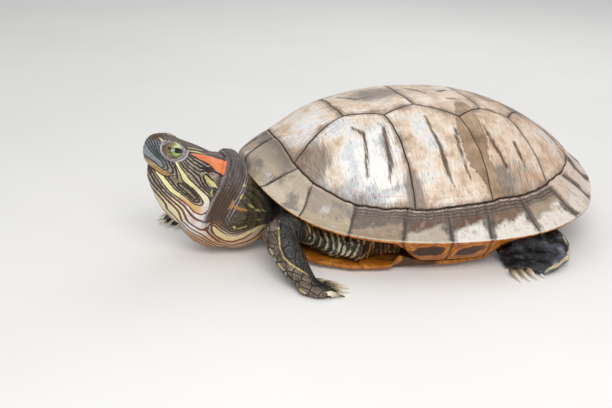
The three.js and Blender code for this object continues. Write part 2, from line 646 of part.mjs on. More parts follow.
const trunkSolid = carve(solidOf(trunk(0)), shellGuard);
const aura = [[GAP, 0, 0], [-GAP, 0, 0], [0, GAP, 0], [0, -GAP, 0], [0, 0, GAP], [0, 0, -GAP]];
const trunkGuard = aura.reduce((sum, step) => sum.add(trunkSolid.translate(step)), solidOf(trunk(GAP)));
node('trunk', geometryOf(biggest(trunkSolid)), 'skin');

const eyeGuards = [solidOf(eye(1, GAP)), solidOf(eye(-1, GAP))];
node('eye_left', eye(1, 0), 'iris');
node('eye_right', eye(-1, 0), 'iris');
node('head', geometryOf(biggest(carve(solidOf(skull(0)), eyeGuards))), 'skin');
const skullGuard = solidOf(skull(GAP));
node('lower_jaw', geometryOf(biggest(carve(solidOf(jaw(0)), [skullGuard]))), 'beak');
const headGuards = [skullGuard, solidOf(jaw(GAP))];
node('neck_front', geometryOf(biggest(above(carve(solidOf(throat(0)), headGuards)))), 'pale');
const neckGuards = [...headGuards, solidOf(throat(GAP)), trunkGuard, ...shellGuard];
node('neck_rear', geometryOf(biggest(above(carve(solidOf(nape(0)), neckGuards)))), 'skin');
const neckGuard = solidOf(nape(GAP));

node('tail', geometryOf(biggest(carve(solidOf(limbBody(TAIL, 10, 0)), [trunkGuard, ...shellGuard]))), 'skin');

for (const [name, limb] of Object.entries(LIMBS)) {
  const upperGuards = [trunkGuard, neckGuard, ...shellGuard];
  const upper = biggest(above(carve(solidOf(limbBody(limb.upper, 10, 0)), upperGuards)));
  node(`${name}_upper`, geometryOf(upper), 'skin');
  const lowerGuards = [...upperGuards, solidOf(limbBody(limb.upper, 10, GAP))];
  const lower = biggest(above(carve(solidOf(limbBody(limb.lower, 10, 0)), lowerGuards)));
  node(`${name}_lower`, geometryOf(lower), 'skin');
  const footGuards = [...lowerGuards, solidOf(limbBody(limb.lower, 10, GAP))];
  const foot = biggest(above(carve(solidOf(limbBody(limb.foot, 12, 0, 0.8)), footGuards)));
  node(`${name}_foot`, geometryOf(foot), 'skin');
  const sheath = solidOf(limbBody(limb.foot, 12, GAP, 0.8));
  claws(limb.toes, limb.claw).forEach((geometry, i) => {
    const claw = biggest(carve(solidOf(geometry), [sheath, ...footGuards]));
    node(`${name}_claw_${i + 1}`, geometryOf(claw), 'claw');
  });
}

// the origin sits on the ground in the middle of the whole animal
group.updateMatrixWorld(true);
const box = new THREE.Box3().setFromObject(group);
const shift = V(-(box.min.x + box.max.x) / 2, -(box.min.y + box.max.y) / 2, -box.min.z);
group.children.forEach((mesh) => mesh.geometry.translate(shift.x, shift.y, shift.z));

export default group;
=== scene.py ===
# %% [markdown]
# # A red-eared slider, life size, standing still
#
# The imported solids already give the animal's form: plates of horn on a domed shell, a belly plate,
# and the flesh of head, neck, legs and tail. This lesson dresses them. The horn plates are built
# again with fine growth lines, one skin is drawn over all the flesh, and every surface gets its
# own procedural finish. The solids are loaded first, because every place comes from them.

# %% Load the fixed frame
import math

import bmesh
import bpy
import numpy as np
from mathutils import Matrix, Vector, noise


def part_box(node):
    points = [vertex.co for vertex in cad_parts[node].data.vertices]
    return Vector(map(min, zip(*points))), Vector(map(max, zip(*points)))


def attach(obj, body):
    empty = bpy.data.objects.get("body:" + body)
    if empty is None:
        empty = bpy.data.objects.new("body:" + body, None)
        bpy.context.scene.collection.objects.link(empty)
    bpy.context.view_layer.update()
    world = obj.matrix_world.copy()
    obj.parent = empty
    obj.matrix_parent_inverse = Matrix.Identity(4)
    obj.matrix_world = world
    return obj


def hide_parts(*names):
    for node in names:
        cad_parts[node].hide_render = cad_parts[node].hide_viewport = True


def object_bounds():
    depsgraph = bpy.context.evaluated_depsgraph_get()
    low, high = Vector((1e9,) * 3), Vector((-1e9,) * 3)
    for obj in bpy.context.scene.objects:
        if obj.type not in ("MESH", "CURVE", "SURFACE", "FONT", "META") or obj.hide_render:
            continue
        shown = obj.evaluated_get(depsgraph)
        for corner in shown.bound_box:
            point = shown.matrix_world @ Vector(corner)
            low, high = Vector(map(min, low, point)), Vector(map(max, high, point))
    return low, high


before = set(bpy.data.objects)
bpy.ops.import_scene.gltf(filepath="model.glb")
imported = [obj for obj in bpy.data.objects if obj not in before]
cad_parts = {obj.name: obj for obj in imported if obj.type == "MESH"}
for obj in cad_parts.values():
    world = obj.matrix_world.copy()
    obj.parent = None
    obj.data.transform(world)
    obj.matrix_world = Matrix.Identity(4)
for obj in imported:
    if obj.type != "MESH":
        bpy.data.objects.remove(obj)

cad_box = [list(corner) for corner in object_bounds()]
print("solids:", len(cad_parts), "box:", cad_box)

# %% [markdown]
# ## One way of measuring the animal
#
# Anatomy is easiest to read in shell lengths: how far forward, how far to the left, how far up,
# from the ground under the middle of the shell. The solids were laid out that way, so the same
# lengths put every mark where it belongs. Two boxes of the frame tell where that ground point is.

# %% Shell lengths and millimetres
SHELL = 0.210  # one layout length, in metres
MM = 0.001
nose_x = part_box("cervical")[0].x
left_low, right_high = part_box("marginals_left")[0].y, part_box("marginals_right")[1].y
ORIGIN = np.array([nose_x + 0.5 * SHELL, (left_low + right_high) / 2, 0.0])
HEAD_SIDE = 0.045  # the head is held a little to the left of the midline


def place(fwd, left, up):
    """Points in the frame, in metres, from shell lengths."""
    fwd, left, up = np.broadcast_arrays(fwd, left, up)
    return ORIGIN + SHELL * np.stack([-fwd, -left, up], axis=-1)


def lengths(points):
    """Shell lengths (fwd, left, up) of points in the frame."""
    p = (np.asarray(points) - ORIGIN) / SHELL
    return -p[..., 0], -p[..., 1], p[..., 2]


def mm(shell_lengths):
    return shell_lengths * SHELL / MM


def push(points, direction, lift):
    """Points moved along their directions by millimetres."""
    return points + direction * (lift * MM)[:, None]


def smooth(low, high, x):
    t = np.clip((x - low) / (high - low), 0, 1)
    return t * t * (3 - 2 * t)


def hump(x, at, reach):
    """1 at one place, falling off softly on both sides."""
    return np.exp(-(((x - at) / reach) ** 2))


def groove(gap, reach):
    """1 along a seam, falling off faster than a hump."""
    return np.exp(-((gap / reach) ** 1.5))


def through(stations, x):
    """Smooth curve through a short list of stations."""
    s = np.array(stations, float)
    x = np.clip(x, s[0, 0], s[-1, 0])
    chord = np.diff(s[:, 1]) / np.diff(s[:, 0])
    slope = np.concatenate([chord[:1], (chord[1:] + chord[:-1]) / 2, chord[-1:]])
    i = np.clip(np.searchsorted(s[:, 0], x) - 1, 0, len(s) - 2)
    h = s[i + 1, 0] - s[i, 0]
    t = (x - s[i, 0]) / h
    ends = (2 * t**3 - 3 * t**2 + 1) * s[i, 1] + (3 * t**2 - 2 * t**3) * s[i + 1, 1]
    turns = (t**3 - 2 * t**2 + t) * h * slope[i] + (t**3 - t**2) * h * slope[i + 1]
    return ends + turns


print("ground point under mid-shell:", ORIGIN)

# %% [markdown]
# ## Camera, floor and light
#
# The camera comes first, so that every piece is judged from where it will be seen. It stands at
# the animal's left, a little ahead of it and above, with a short telephoto lens. The light is a
# plain studio: one broad lamp high on the camera side, a weaker one behind, and a grey-white sky.
# Lamps this large give soft shadows and long gentle highlights on horn.

# %% Camera
def link(obj):
    bpy.context.scene.collection.objects.link(obj)
    return obj


CAMERA_AT = (1.146, 2.284, 1.0085)  # fwd, left, up
HEADING, PITCH, ROLL = math.radians(19.9), math.radians(20.94), math.radians(1.61)
camera_data = bpy.data.cameras.new("camera")
camera_data.lens = 58.35
camera_data.sensor_width = 36
camera_data.clip_start = 0.01
camera = link(bpy.data.objects.new("camera", camera_data))
bpy.context.scene.camera = camera
level = Vector((math.cos(HEADING), -math.sin(HEADING), 0))
ahead = Vector((math.sin(HEADING) * math.cos(PITCH), math.cos(HEADING) * math.cos(PITCH), -math.sin(PITCH)))
above = level.cross(ahead)
across = math.cos(ROLL) * level + math.sin(ROLL) * above
upward = math.cos(ROLL) * above - math.sin(ROLL) * level
turn = Matrix((across, upward, -ahead)).transposed().to_4x4()
camera.matrix_world = Matrix.Translation(place(*CAMERA_AT)) @ turn
print("camera at", tuple(round(v, 3) for v in camera.location))


# %% Node helpers for every finish
def colour(code):
    """Linear colour from the usual six hexadecimal digits."""
    parts = [int(code[i:i + 2], 16) / 255 for i in (0, 2, 4)]
    return [p / 12.92 if p < 0.04045 else ((p + 0.055) / 1.055) ** 2.4 for p in parts] + [1.0]


def sign(operation):
    """The method that makes an arithmetic sign add a math node."""
    return lambda level, other=None: level.finish.math(operation, level, other)


class Level:
    """A number that varies over a surface, to be used with arithmetic signs."""

    def __init__(self, finish, socket):
        self.finish, self.socket = finish, socket

    __add__, __sub__, __mul__, __truediv__ = map(sign, ("ADD", "SUBTRACT", "MULTIPLY", "DIVIDE"))
    __abs__ = sign("ABSOLUTE")

    def __rsub__(self, other):
        return self.finish.math("SUBTRACT", other, self)


class Finish:
    """A material under construction: each call adds one node and returns its output."""

    def __init__(self, name):
        self.material = bpy.data.materials.new(name)
        self.material.use_nodes = True
        self.tree = self.material.node_tree
        self.shader = self.tree.nodes["Principled BSDF"]

    def wire(self, socket, value):
        """Link a socket to another node's output, or set it to a plain value or colour code."""
        if isinstance(value, Level):
            value = value.socket
        if isinstance(value, bpy.types.NodeSocket):
            self.tree.links.new(value, socket)
        elif value is not None:
            socket.default_value = colour(value) if isinstance(value, str) else value

    def add(self, kind, output, inputs, **settings):
        """One node, its inputs given by name or number."""
        node = self.tree.nodes.new(kind)
        for key, value in settings.items():
            setattr(node, key, value)
        for key, value in inputs.items():
            self.wire(node.inputs[key], value)
        return node.outputs[output]

    def number(self, *node, **settings):
        """The same, for an output that is a number."""
        return Level(self, self.add(*node, **settings))

    def __getitem__(self, name):
        """The number that note() stored per vertex under this name."""
        return self.number("ShaderNodeAttribute", "Fac", {}, attribute_name=name)

    def vector(self, name):
        return self.add("ShaderNodeAttribute", "Vector", {}, attribute_name=name)

    def position(self):
        return self.add("ShaderNodeTexCoord", "Object", {})

    def stretch(self, vector, scale):
        return self.add("ShaderNodeMapping", "Vector", {"Vector": vector, "Scale": scale})

    def noise(self, vector, scale, detail=3.0, roughness=0.55):
        inputs = {"Vector": vector, "Scale": scale, "Detail": detail, "Roughness": roughness}
        return self.number("ShaderNodeTexNoise", "Fac", inputs)

    def cells(self, vector, scale):
        inputs = {"Vector": vector, "Scale": scale}
        return self.number("ShaderNodeTexVoronoi", "Distance", inputs, feature="DISTANCE_TO_EDGE")

    def math(self, operation, a, b=None):
        return self.number("ShaderNodeMath", 0, {0: a, 1: b}, operation=operation)

    def radius(self, a, b):
        return self.math("SQRT", self.math("POWER", a, 2.0) + self.math("POWER", b, 2.0))

    def band(self, value, low, high, start=0.0, end=1.0):
        """start below low, end above high, smooth in between."""
        inputs = {"Value": value, "From Min": low, "From Max": high, "To Min": start, "To Max": end}
        return self.number("ShaderNodeMapRange", "Result", inputs, interpolation_type="SMOOTHSTEP")

    def mix(self, share, a, b):
        return self.add("ShaderNodeMix", 2, {0: share, 6: a, 7: b}, data_type="RGBA")

    def layers(self, base, *coats):
        """Tones laid over a base one after another, each with its share."""
        for share, tone in coats:
            base = self.mix(share, base, tone)
        return base

    def ramp(self, value, *stops):
        """Tones by value; a stop is a value in hundredths and a colour code."""
        tone = self.add("ShaderNodeValToRGB", "Color", {"Fac": value})
        points = tone.node.color_ramp.elements
        while len(points) < len(stops):
            points.new(0.5)
        for point, (at, code) in zip(points, map(str.split, stops)):
            point.position = int(at) / 100
            point.color = colour(code)
        return tone

    def relief(self, height, distance, strength):
        inputs = {"Height": height, "Distance": distance, "Strength": strength}
        return self.add("ShaderNodeBump", "Normal", inputs)

    def done(self, base, roughness, normal=None, **values):
        named = {key.replace("_", " "): value for key, value in values.items()}
        for key, value in {"Base Color": base, "Roughness": roughness, "Normal": normal, **named}.items():
            self.wire(self.shader.inputs[key], value)
        return self.material


# %% Floor and sky
SKY = "eef0f2"


def floor_finish():
    """Pale paper; where the camera sees it far off, it glows a little, to meet the sky."""
    f = Finish("floor_paper")
    seen = f.number("ShaderNodeLightPath", "Is Camera Ray", {})
    away = f.number("ShaderNodeVectorMath", "Value", {0: f.position()}, operation="LENGTH")
    tone = f.ramp(f.noise(f.position(), 6.0), "30 eeece9", "70 f3f1ee")
    glow = seen * f.band(away, 0.7, 2.4, 0.08, 0.5)
    return f.done(tone, 0.8, Specular_IOR_Level=0.2, Emission_Color=SKY, Emission_Strength=glow)


bm = bmesh.new()
bmesh.ops.create_grid(bm, x_segments=1, y_segments=1, size=12.0)
floor_mesh = bpy.data.meshes.new("floor")
bm.to_mesh(floor_mesh)
bm.free()
floor = link(bpy.data.objects.new("floor", floor_mesh))
floor_mesh.materials.append(floor_finish())

world = bpy.data.worlds.new("sky")
bpy.context.scene.world = world
world.use_nodes = True
tree = world.node_tree
sky = tree.nodes["Background"]
sky.inputs["Color"].default_value = colour(SKY)
rays = tree.nodes.new("ShaderNodeLightPath")
strength = tree.nodes.new("ShaderNodeMapRange")
strength.inputs["To Min"].default_value = 0.5  # as a light
strength.inputs["To Max"].default_value = 1.0  # as the camera sees it
tree.links.new(rays.outputs["Is Camera Ray"], strength.inputs["Value"])
tree.links.new(strength.outputs["Result"], sky.inputs["Strength"])


def lamp(name, at, size, power, warmth):
    data = bpy.data.lights.new(name, "AREA")
    data.shape = "RECTANGLE"
    data.size, data.size_y = size
    data.energy = power
    data.color = warmth
    obj = link(bpy.data.objects.new(name, data))
    obj.location = place(*at)
    aim = Vector(place(0.05, 0.0, 0.15)) - obj.location
    obj.rotation_mode = "QUATERNION"
    obj.rotation_quaternion = aim.to_track_quat("-Z", "Y")


lamp("key_lamp", (0.9, 2.6, 2.6), (0.5, 0.4), 3.2, (1.0, 0.985, 0.96))
lamp("back_lamp", (-1.6, -2.2, 2.6), (0.6, 0.4), 1.2, (0.96, 0.98, 1.0))
lamp("top_lamp", (0.3, -0.2, 3.5), (0.6, 0.6), 0.5, (1.0, 1.0, 1.0))
bpy.context.scene.view_settings.view_transform = "Standard"
print("lamps and floor ready")

# %% [markdown]
# ## The dome and the seams between its plates
#
# A slider's carapace is a low dome, steep at the flanks and flared at the rim, covered by horn
# plates called scutes: five along the back, four costals on each side, and a ring of twelve
# marginals a side round the edge with a small nuchal in front. Each plate could be cut from one
# big mesh, but plates that are built one by one keep a true dark seam between them. So the dome
# is a height formula, and a plate is any outline laid on it.

# %% The dome
# both rings in plan: the outer rim and the seam between the rim and the big plates
RIM = dict(centre=0.5, front=0.5, rear=0.465, width=0.391, lean=0.08, power=0.92)
SEAM = dict(centre=0.485, front=0.4, rear=0.4, width=0.324, lean=0.04, power=0.8)
# height of the midline of the back, from the front edge to the rear one
CREST = [(0, 0.234), (0.05, 0.263), (0.11, 0.29), (0.18, 0.3279), (0.27, 0.3539), (0.38, 0.368),
         (0.5, 0.3668), (0.6, 0.3565), (0.7, 0.3302), (0.78, 0.2944), (0.86, 0.2432), (0.92, 0.188),
         (0.965, 0.158)]
ARCH = 2.67  # the higher, the squarer the dome's cross-section


def ring_half(ring, ahead):
    return np.where(ahead, ring["front"], ring["rear"])


def ring_point(ring, t):
    """(from the front, to the left) on a ring at an angle: 0 is the nape, pi the rear."""
    t = np.asarray(t, float)
    side = ring["width"] * np.abs(np.sin(t)) ** ring["power"] * (1 - ring["lean"] * np.cos(t))
    return np.stack([ring["centre"] - ring_half(ring, np.cos(t) > 0) * np.cos(t), np.sign(t) * side], axis=-1)


def ring_width(ring, s):
    c = np.clip((ring["centre"] - s) / ring_half(ring, s < ring["centre"]), -1, 1)
    return ring["width"] * np.sqrt(1 - c * c) ** ring["power"] * (1 - ring["lean"] * c)


def edge_height(s):
    """Height of the rim: it rises at the nape and a little at the rear."""
    return 0.102 + 0.11 * np.exp(-s / 0.08) + 0.009 * smooth(0.62, 0.93, s) + 0.036 * smooth(0.88, 0.965, s)


def dome(s, side):
    """Height of the shell over a point of the plan."""
    u = np.clip(np.abs(side) / np.maximum(ring_width(RIM, s), 1e-5), 0, 1)
    flare = 1.45 + 0.78 * np.exp(-s / 0.22) - 0.05 * smooth(0.68, 0.85, s)
    low = edge_height(s)
    return low + (through(CREST, s) - low) * (1 - u**ARCH) ** flare


def on_dome(s, side, lift):
    """Points lift millimetres outside the dome, along its normal, which is measured clear of the edge."""
    step = 0.004
    a = np.clip(s, 0.012, 0.95)
    b = np.sign(side) * np.minimum(np.abs(side), 0.96 * ring_width(RIM, a))
    slope = (dome(a + step, b) - dome(a - step, b)) / (2 * step)
    cant = (dome(a, b + step) - dome(a, b - step)) / (2 * step)
    normal = np.stack([-slope, cant, np.ones_like(slope)], axis=-1)
    normal /= np.linalg.norm(normal, axis=-1, keepdims=True)
    return push(place(0.5 - s, side, dome(s, side)), normal, lift)


def down_slope(s, side, steps=24):
    """Length of the dome's curve from the midline out to a point, in millimetres."""
    sides = np.asarray(side)[:, None] * np.linspace(0, 1, steps)
    heights = dome(np.repeat(np.asarray(s)[:, None], steps, 1), sides)
    return mm(np.hypot(np.diff(sides), np.diff(heights)).sum(1))


print("height of the back:", round(float(mm(dome(np.array([0.42]), np.array([0.0]))[0])), 1), "mm")

# %% Plate outlines
V1_CORNER, V5_CORNER = 0.31, 2.732  # ring angles where the first and the last vertebral end
# corners between vertebrals and costals, in turn where two vertebrals meet and where two costals meet;
# a separate fitting program printed them
BACK_SEAM = [(0.242, 0.083), (0.339, 0.117), (0.425, 0.095), (0.53, 0.149), (0.606, 0.112), (0.683, 0.132),
             (0.754, 0.056)]
COSTAL_FOOT = [1.226, 1.73, 2.208]  # ring angles between the costals
MESH_STEP = 0.75  # distance between mesh lines, millimetres
BOW = 0.03  # bulge of a seam between a vertebral and a costal, as a share of its length
SEAM_GAP = 0.3  # open seam between neighbouring plates, millimetres


def count_for(a, b, stretch=1.0):
    """Mesh steps from one point of the plan to another."""
    return max(2, int(math.ceil(mm(np.linalg.norm(b - a) * stretch) / MESH_STEP)))


def seam_line(a, b, bulge):
    """Gently bowed seam from a to b, without its last point."""
    a, b = np.array(a), np.array(b)
    t = (np.arange(count_for(a, b)) / count_for(a, b))[:, None]
    sideways = np.array([b[1] - a[1], a[0] - b[0]])
    return a + (b - a) * t + sideways * (bulge * 4 * t * (1 - t))


def seam_lines(corners):
    return [seam_line(a, b, BOW) for a, b in zip(corners, corners[1:])]


def ring_arc(t0, t1):
    n = count_for(*ring_point(SEAM, np.array([t0, t1])), 1.1)
    return ring_point(SEAM, t0 + (t1 - t0) * np.arange(n) / n)


def flipped(points):
    return [(s, -side) for s, side in points]


v1_corner, v5_corner, *feet = [tuple(ring_point(SEAM, t)) for t in (V1_CORNER, V5_CORNER, *COSTAL_FOOT)]
corners = [v1_corner, *BACK_SEAM, v5_corner]


def vertebral_outline(k):
    left = corners[max(0, 2 * k - 1):2 * k + 2]
    rear, front = left[-1], left[0]
    parts = seam_lines(left)
    if k == 4:
        parts += [ring_arc(V5_CORNER, math.pi), ring_arc(-math.pi, -V5_CORNER)]
    else:
        parts.append(seam_line(rear, (rear[0], -rear[1]), 0.04))
    parts += seam_lines(flipped(left)[::-1])
    if k == 0:
        parts.append(ring_arc(-V1_CORNER, V1_CORNER))
    else:
        parts.append(seam_line((front[0], -front[1]), front, -0.04))
    return np.concatenate(parts)


def costal_outline(k, side):
    top = corners[2 * k:2 * k + 3]
    angles = [V1_CORNER, *COSTAL_FOOT, V5_CORNER]
    parts = seam_lines(top)
    if k < 3:
        parts.append(seam_line(top[2], feet[k], 0.05))
    parts.append(ring_arc(angles[k + 1], angles[k]))
    if k > 0:
        parts.append(seam_line(feet[k - 1], top[0], -0.05))
    return np.concatenate(parts) * [1, side]


print("points round the first costal:", len(costal_outline(0, 1)))

# %% [markdown]
# ## A scute
#
# A plate grows by adding a ring of horn round its edge each year, so its mesh is made the same way:
# one outline face is inset again and again towards the middle of the plate. Every ring of the
# mesh follows the seam, which lets growth lines and the rolled edge be real relief. The underside
# is a short wall and a cap, so each plate is a closed shell of horn.


# %% Build one plate
def link_piece(name, bm, material, slot, *stands_for):
    bmesh.ops.recalc_face_normals(bm, faces=bm.faces[:])
    mesh = bpy.data.meshes.new(name)
    bm.to_mesh(mesh)
    bm.free()
    mesh.polygons.foreach_set("use_smooth", np.ones(len(mesh.polygons), bool))
    mesh.materials.append(material)
    obj = link(bpy.data.objects.new(name, mesh))
    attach(obj, "root")
    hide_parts(*stands_for)
    return obj


def column(items, field, width=3, kind=float):
    """One row of numbers for each vertex, edge or normal of a mesh."""
    rows = np.zeros(len(items) * width, kind)
    items.foreach_get(field, rows)
    return rows.reshape(-1, width)


def vertices(mesh):
    return column(mesh.vertices, "co")


def move_vertices(mesh, co):
    mesh.vertices.foreach_set("co", np.asarray(co, float).ravel())
    mesh.update()


def note(mesh, **marks):
    """Store one number, or one vector, per vertex for the finish to read."""
    for name, values in marks.items():
        values = np.asarray(values, np.float32)
        kind, field = ("FLOAT", "value") if values.ndim == 1 else ("FLOAT_VECTOR", "vector")
        mesh.attributes.new(name, kind, "POINT").data.foreach_set(field, values.ravel())


def to_line(points, line, widths=None):
    """Distance from each point to a polyline, less the width there; both in the same unit."""
    points, line = np.asarray(points, float), np.asarray(line, float)
    widths = np.zeros(len(line)) if widths is None else np.asarray(widths, float)
    best = np.full(len(points), 1e9)
    for a, b, wa, wb in zip(line, line[1:], widths, widths[1:]):
        along = b - a
        t = np.clip((points - a) @ along / (along @ along), 0, 1)
        gap = np.linalg.norm(points - a - t[:, None] * along, axis=1) - (wa + (wb - wa) * t)
        best = np.minimum(best, gap)
    return best


def wrinkle(points, size, seed):
    """Smooth noise from -1 to 1 at each point; size is the feature size in the points' unit."""
    shift = Vector((seed * 7.3, seed * 3.1, seed * 5.7))
    return np.array([noise.noise(Vector(p) / size + shift) for p in points])


def wander(s, side):
    """Seams of living horn are never quite true: the same small drift for every plate and the rim."""
    flat = np.stack([s, side, np.zeros(len(s))], 1)
    drifts = [0.0034 * wrinkle(flat, 0.06, n) + 0.0016 * wrinkle(flat, 0.018, n + 5) for n in (1.0, 2.0)]
    hold = smooth(0.0, 0.012, np.abs(side))  # nothing drifts across the midline
    return s + drifts[0], side + drifts[1] * hold


PLATE_DEPTH = 1.7  # height of the wall under a plate's edge, millimetres
EDGE_ROLL = 0.45  # how far a plate's edge turns down, millimetres
YEAR = 1.25  # distance between growth lines, millimetres


def plate_bmesh(outline):
    """Flat plate over a plan outline: rings by inset, then wall and cap; z is -1 for the underside."""
    bm = bmesh.new()
    face = bm.faces.new([bm.verts.new((s, side, 0)) for s, side in outline])
    hub = Vector((*outline.mean(0), 0))
    reach = mm(np.linalg.norm(outline - outline.mean(0), axis=1).mean())
    space = Matrix.Translation(-hub)
    edge = bm.edges[:]
    inward = [0.0, 0.15, 0.35, 0.6, 0.9]
    inward += list(np.arange(1.3, reach - MESH_STEP, MESH_STEP))
    for before, after in zip(inward, inward[1:]):
        bmesh.ops.inset_individual(bm, faces=[face], thickness=0, depth=0)
        shrink = (reach - after) / (reach - before)
        bmesh.ops.scale(bm, vec=(shrink, shrink, 1), space=space, verts=face.verts[:])
    bmesh.ops.poke(bm, faces=[face])
    for share in (1.0, 0.8, 0.4):  # straight down, then in under the plate
        grown = bmesh.ops.extrude_edge_only(bm, edges=edge)["geom"]
        verts = [g for g in grown if isinstance(g, bmesh.types.BMVert)]
        edge = [g for g in grown if isinstance(g, bmesh.types.BMEdge) and g.is_boundary]
        for v in verts:
            v.co.z = -1
        if share < 1:
            bmesh.ops.scale(bm, vec=(share, share, 1), space=space, verts=verts)
    cap = bmesh.ops.contextual_create(bm, geom=edge)["faces"]
    bmesh.ops.poke(bm, faces=cap)
    return bm


def horn_plate(node, outline, seed, material):
    """A scute laid on the dome, with its rolled edge, growth lines and marks."""
    obj = link_piece("scute_" + node, plate_bmesh(outline), material, "carapace_horn", node)
    flat = vertices(obj.data)
    plan, top = flat[:, :2], flat[:, 2] > -0.5
    seam = mm(to_line(plan, np.vstack([outline, outline[:1]])))
    centre = outline.mean(0)
    pull = 1 - (SEAM_GAP / 2) / np.maximum(mm(np.linalg.norm(plan - centre, axis=1)), 1)
    s, side = wander(*(centre[n] + (plan[:, n] - centre[n]) * pull for n in (0, 1)))
    spot = place(0.5 - s, side, dome(s, side))
    swell = wrinkle(spot, 0.016, seed)
    rings = np.sin(2 * math.pi * (seam + 0.35 * swell) / YEAR) * np.exp(-seam / 5.5)
    lift = -0.1 - EDGE_ROLL * groove(seam, 0.42) + 0.05 * rings + 0.12 * swell
    lift += 0.05 * wrinkle(spot, 0.0035, seed + 2)
    move_vertices(obj.data, on_dome(s, side, np.where(top, np.minimum(lift, 0.0), -PLATE_DEPTH)))
    # streaks run aft on the back and down on the flanks; the finish measures them in centimetres
    along, down = mm(s) / 10, down_slope(s, side) * np.sign(side) / 10
    grain = (down, along) if abs(centre[1]) < 0.01 else (along, down)
    lay = np.stack([grain[0] + seed * 5, grain[1], np.full(len(s), seed)], 1)
    note(obj.data, seam=seam, lay=lay, **horn_marks(s, side))
    return obj


# %% [markdown]
# ## What the horn shows
#
# Old horn is pale and chalky where a layer has just come off, and dark where one still clings. On the first
# costal, part of the chalky white is a painted highlight.
# Long brown scars run down the costals. These marks are few and have their own places, so each is
# a short line or outline on the plan of the shell, and the distance to it is stored per vertex.

# %% Marks of the carapace
# In shell lengths, from the front and to the left: lines, then half widths.
SCARS = [
    ([(0.25, 0.126), (0.271, 0.15), (0.266, 0.182), (0.257, 0.21),
      (0.256, 0.222)], [0.002, 0.004, 0.004, 0.003, 0.001]),
    ([(0.322, 0.154), (0.317, 0.19), (0.313, 0.225), (0.303, 0.247)], [0.003, 0.006, 0.005, 0.001]),
    ([(0.437, 0.142), (0.438, 0.18), (0.446, 0.22), (0.447, 0.262),
      (0.452, 0.284)], [0.002, 0.003, 0.005, 0.006, 0.001]),
    ([(0.503, 0.185), (0.494, 0.22), (0.498, 0.265), (0.5, 0.282)], [0.004, 0.004, 0.002, 0.001]),
    ([(0.583, 0.175), (0.59, 0.21), (0.6, 0.237), (0.61, 0.262)], [0.001, 0.005, 0.005, 0.004]),
    ([(0.659, 0.21), (0.662, 0.235), (0.666, 0.257)], [0.003, 0.005, 0.003]),
    ([(0.538, 0.01), (0.565, -0.004)], [0.006, 0.004]),
    ([(0.533, 0.072), (0.552, 0.072)], [0.004, 0.003]),
    ([(0.27, -0.03), (0.303, 0.022), (0.346, 0.02)], [0.002, 0.004, 0.002]),
    ([(0.455, -0.02), (0.475, 0.0), (0.49, 0.03)], [0.003, 0.005, 0.002]),
    ([(0.64, 0.03), (0.665, 0.045), (0.69, 0.04)], [0.003, 0.006, 0.002]),
]
OLD_LAYER = ([(0.557, 0.113), (0.547, 0.167), (0.542, 0.204), (0.535, 0.242), (0.547, 0.266), (0.558, 0.291),
              (0.566, 0.318)], [0.021, 0.033, 0.036, 0.03, 0.024, 0.018, 0.015])
# Soft patches of tone: from the front, to the left, reach along, reach across; then the strength.
# chalk: chalky horn, and on the first costal a painted highlight
PATCHES = dict(chalk_and_highlight=[
    (0.25, 0.2, 0.06, 0.06, 1.35), (0.305, 0.195, 0.035, 0.05, 1.1), (0.3, 0.26, 0.045, 0.025, 0.9),
    (0.16, 0.05, 0.05, 0.06, 0.8), (0.41, 0.2, 0.05, 0.09, 0.5), (0.8, 0.13, 0.05, 0.06, 0.4),
    (0.33, 0.03, 0.05, 0.05, 0.3), (0.22, 0.11, 0.03, 0.02, 0.5),
], slate=[
    (0.23, 0.262, 0.05, 0.018, 1.1), (0.15, 0.19, 0.025, 0.03, 0.7), (0.285, 0.14, 0.03, 0.02, 0.6),
    (0.1, 0.08, 0.02, 0.03, 0.7), (0.345, 0.28, 0.015, 0.03, 0.8), (0.2, 0.222, 0.035, 0.02, 0.9),
    (0.235, 0.25, 0.05, 0.02, 0.5),
], shade=[
    (0.045, 0.03, 0.035, 0.07, 1.3), (0.115, 0.14, 0.03, 0.035, 2.0), (0.16, 0.15, 0.03, 0.03, 1.2),
    (0.15, 0.24, 0.02, 0.03, 0.8), (0.356, 0.3, 0.018, 0.05, 2.4), (0.585, 0.31, 0.022, 0.04, 2.2),
    (0.34, 0.0, 0.065, 0.06, 1.1), (0.5, 0.0, 0.07, 0.045, 0.45), (0.67, 0.0, 0.05, 0.06, 0.8),
    (0.74, 0.06, 0.035, 0.05, 1.2), (0.64, 0.28, 0.06, 0.04, 0.7), (0.88, 0.0, 0.04, 0.1, 0.5),
    (0.4, 0.0, 0.04, 0.05, 0.5), (0.316, 0.215, 0.016, 0.07, 0.75), (0.47, 0.12, 0.05, 0.02, 0.4),
])


def soft_patches(s, side, patches):
    return sum(strength * np.exp(-(((s - at) / along) ** 2 + ((side - out) / across) ** 2))
               for at, out, along, across, strength in patches)


def horn_marks(s, side):
    near = np.where(np.abs(side) < 0.1, side, np.abs(side))
    ahead = s + np.where(side < -0.05, 0.045, 0)  # the right flank wears a little differently
    plan = np.stack([ahead, near], 1)
    return dict(
        scar=mm(np.min([to_line(plan, line, half) for line, half in SCARS], axis=0)),
        old_layer=mm(to_line(np.stack([s, side], 1), *OLD_LAYER)),
        aft=s,
        **{name: soft_patches(ahead, near, patches) for name, patches in PATCHES.items()},
    )


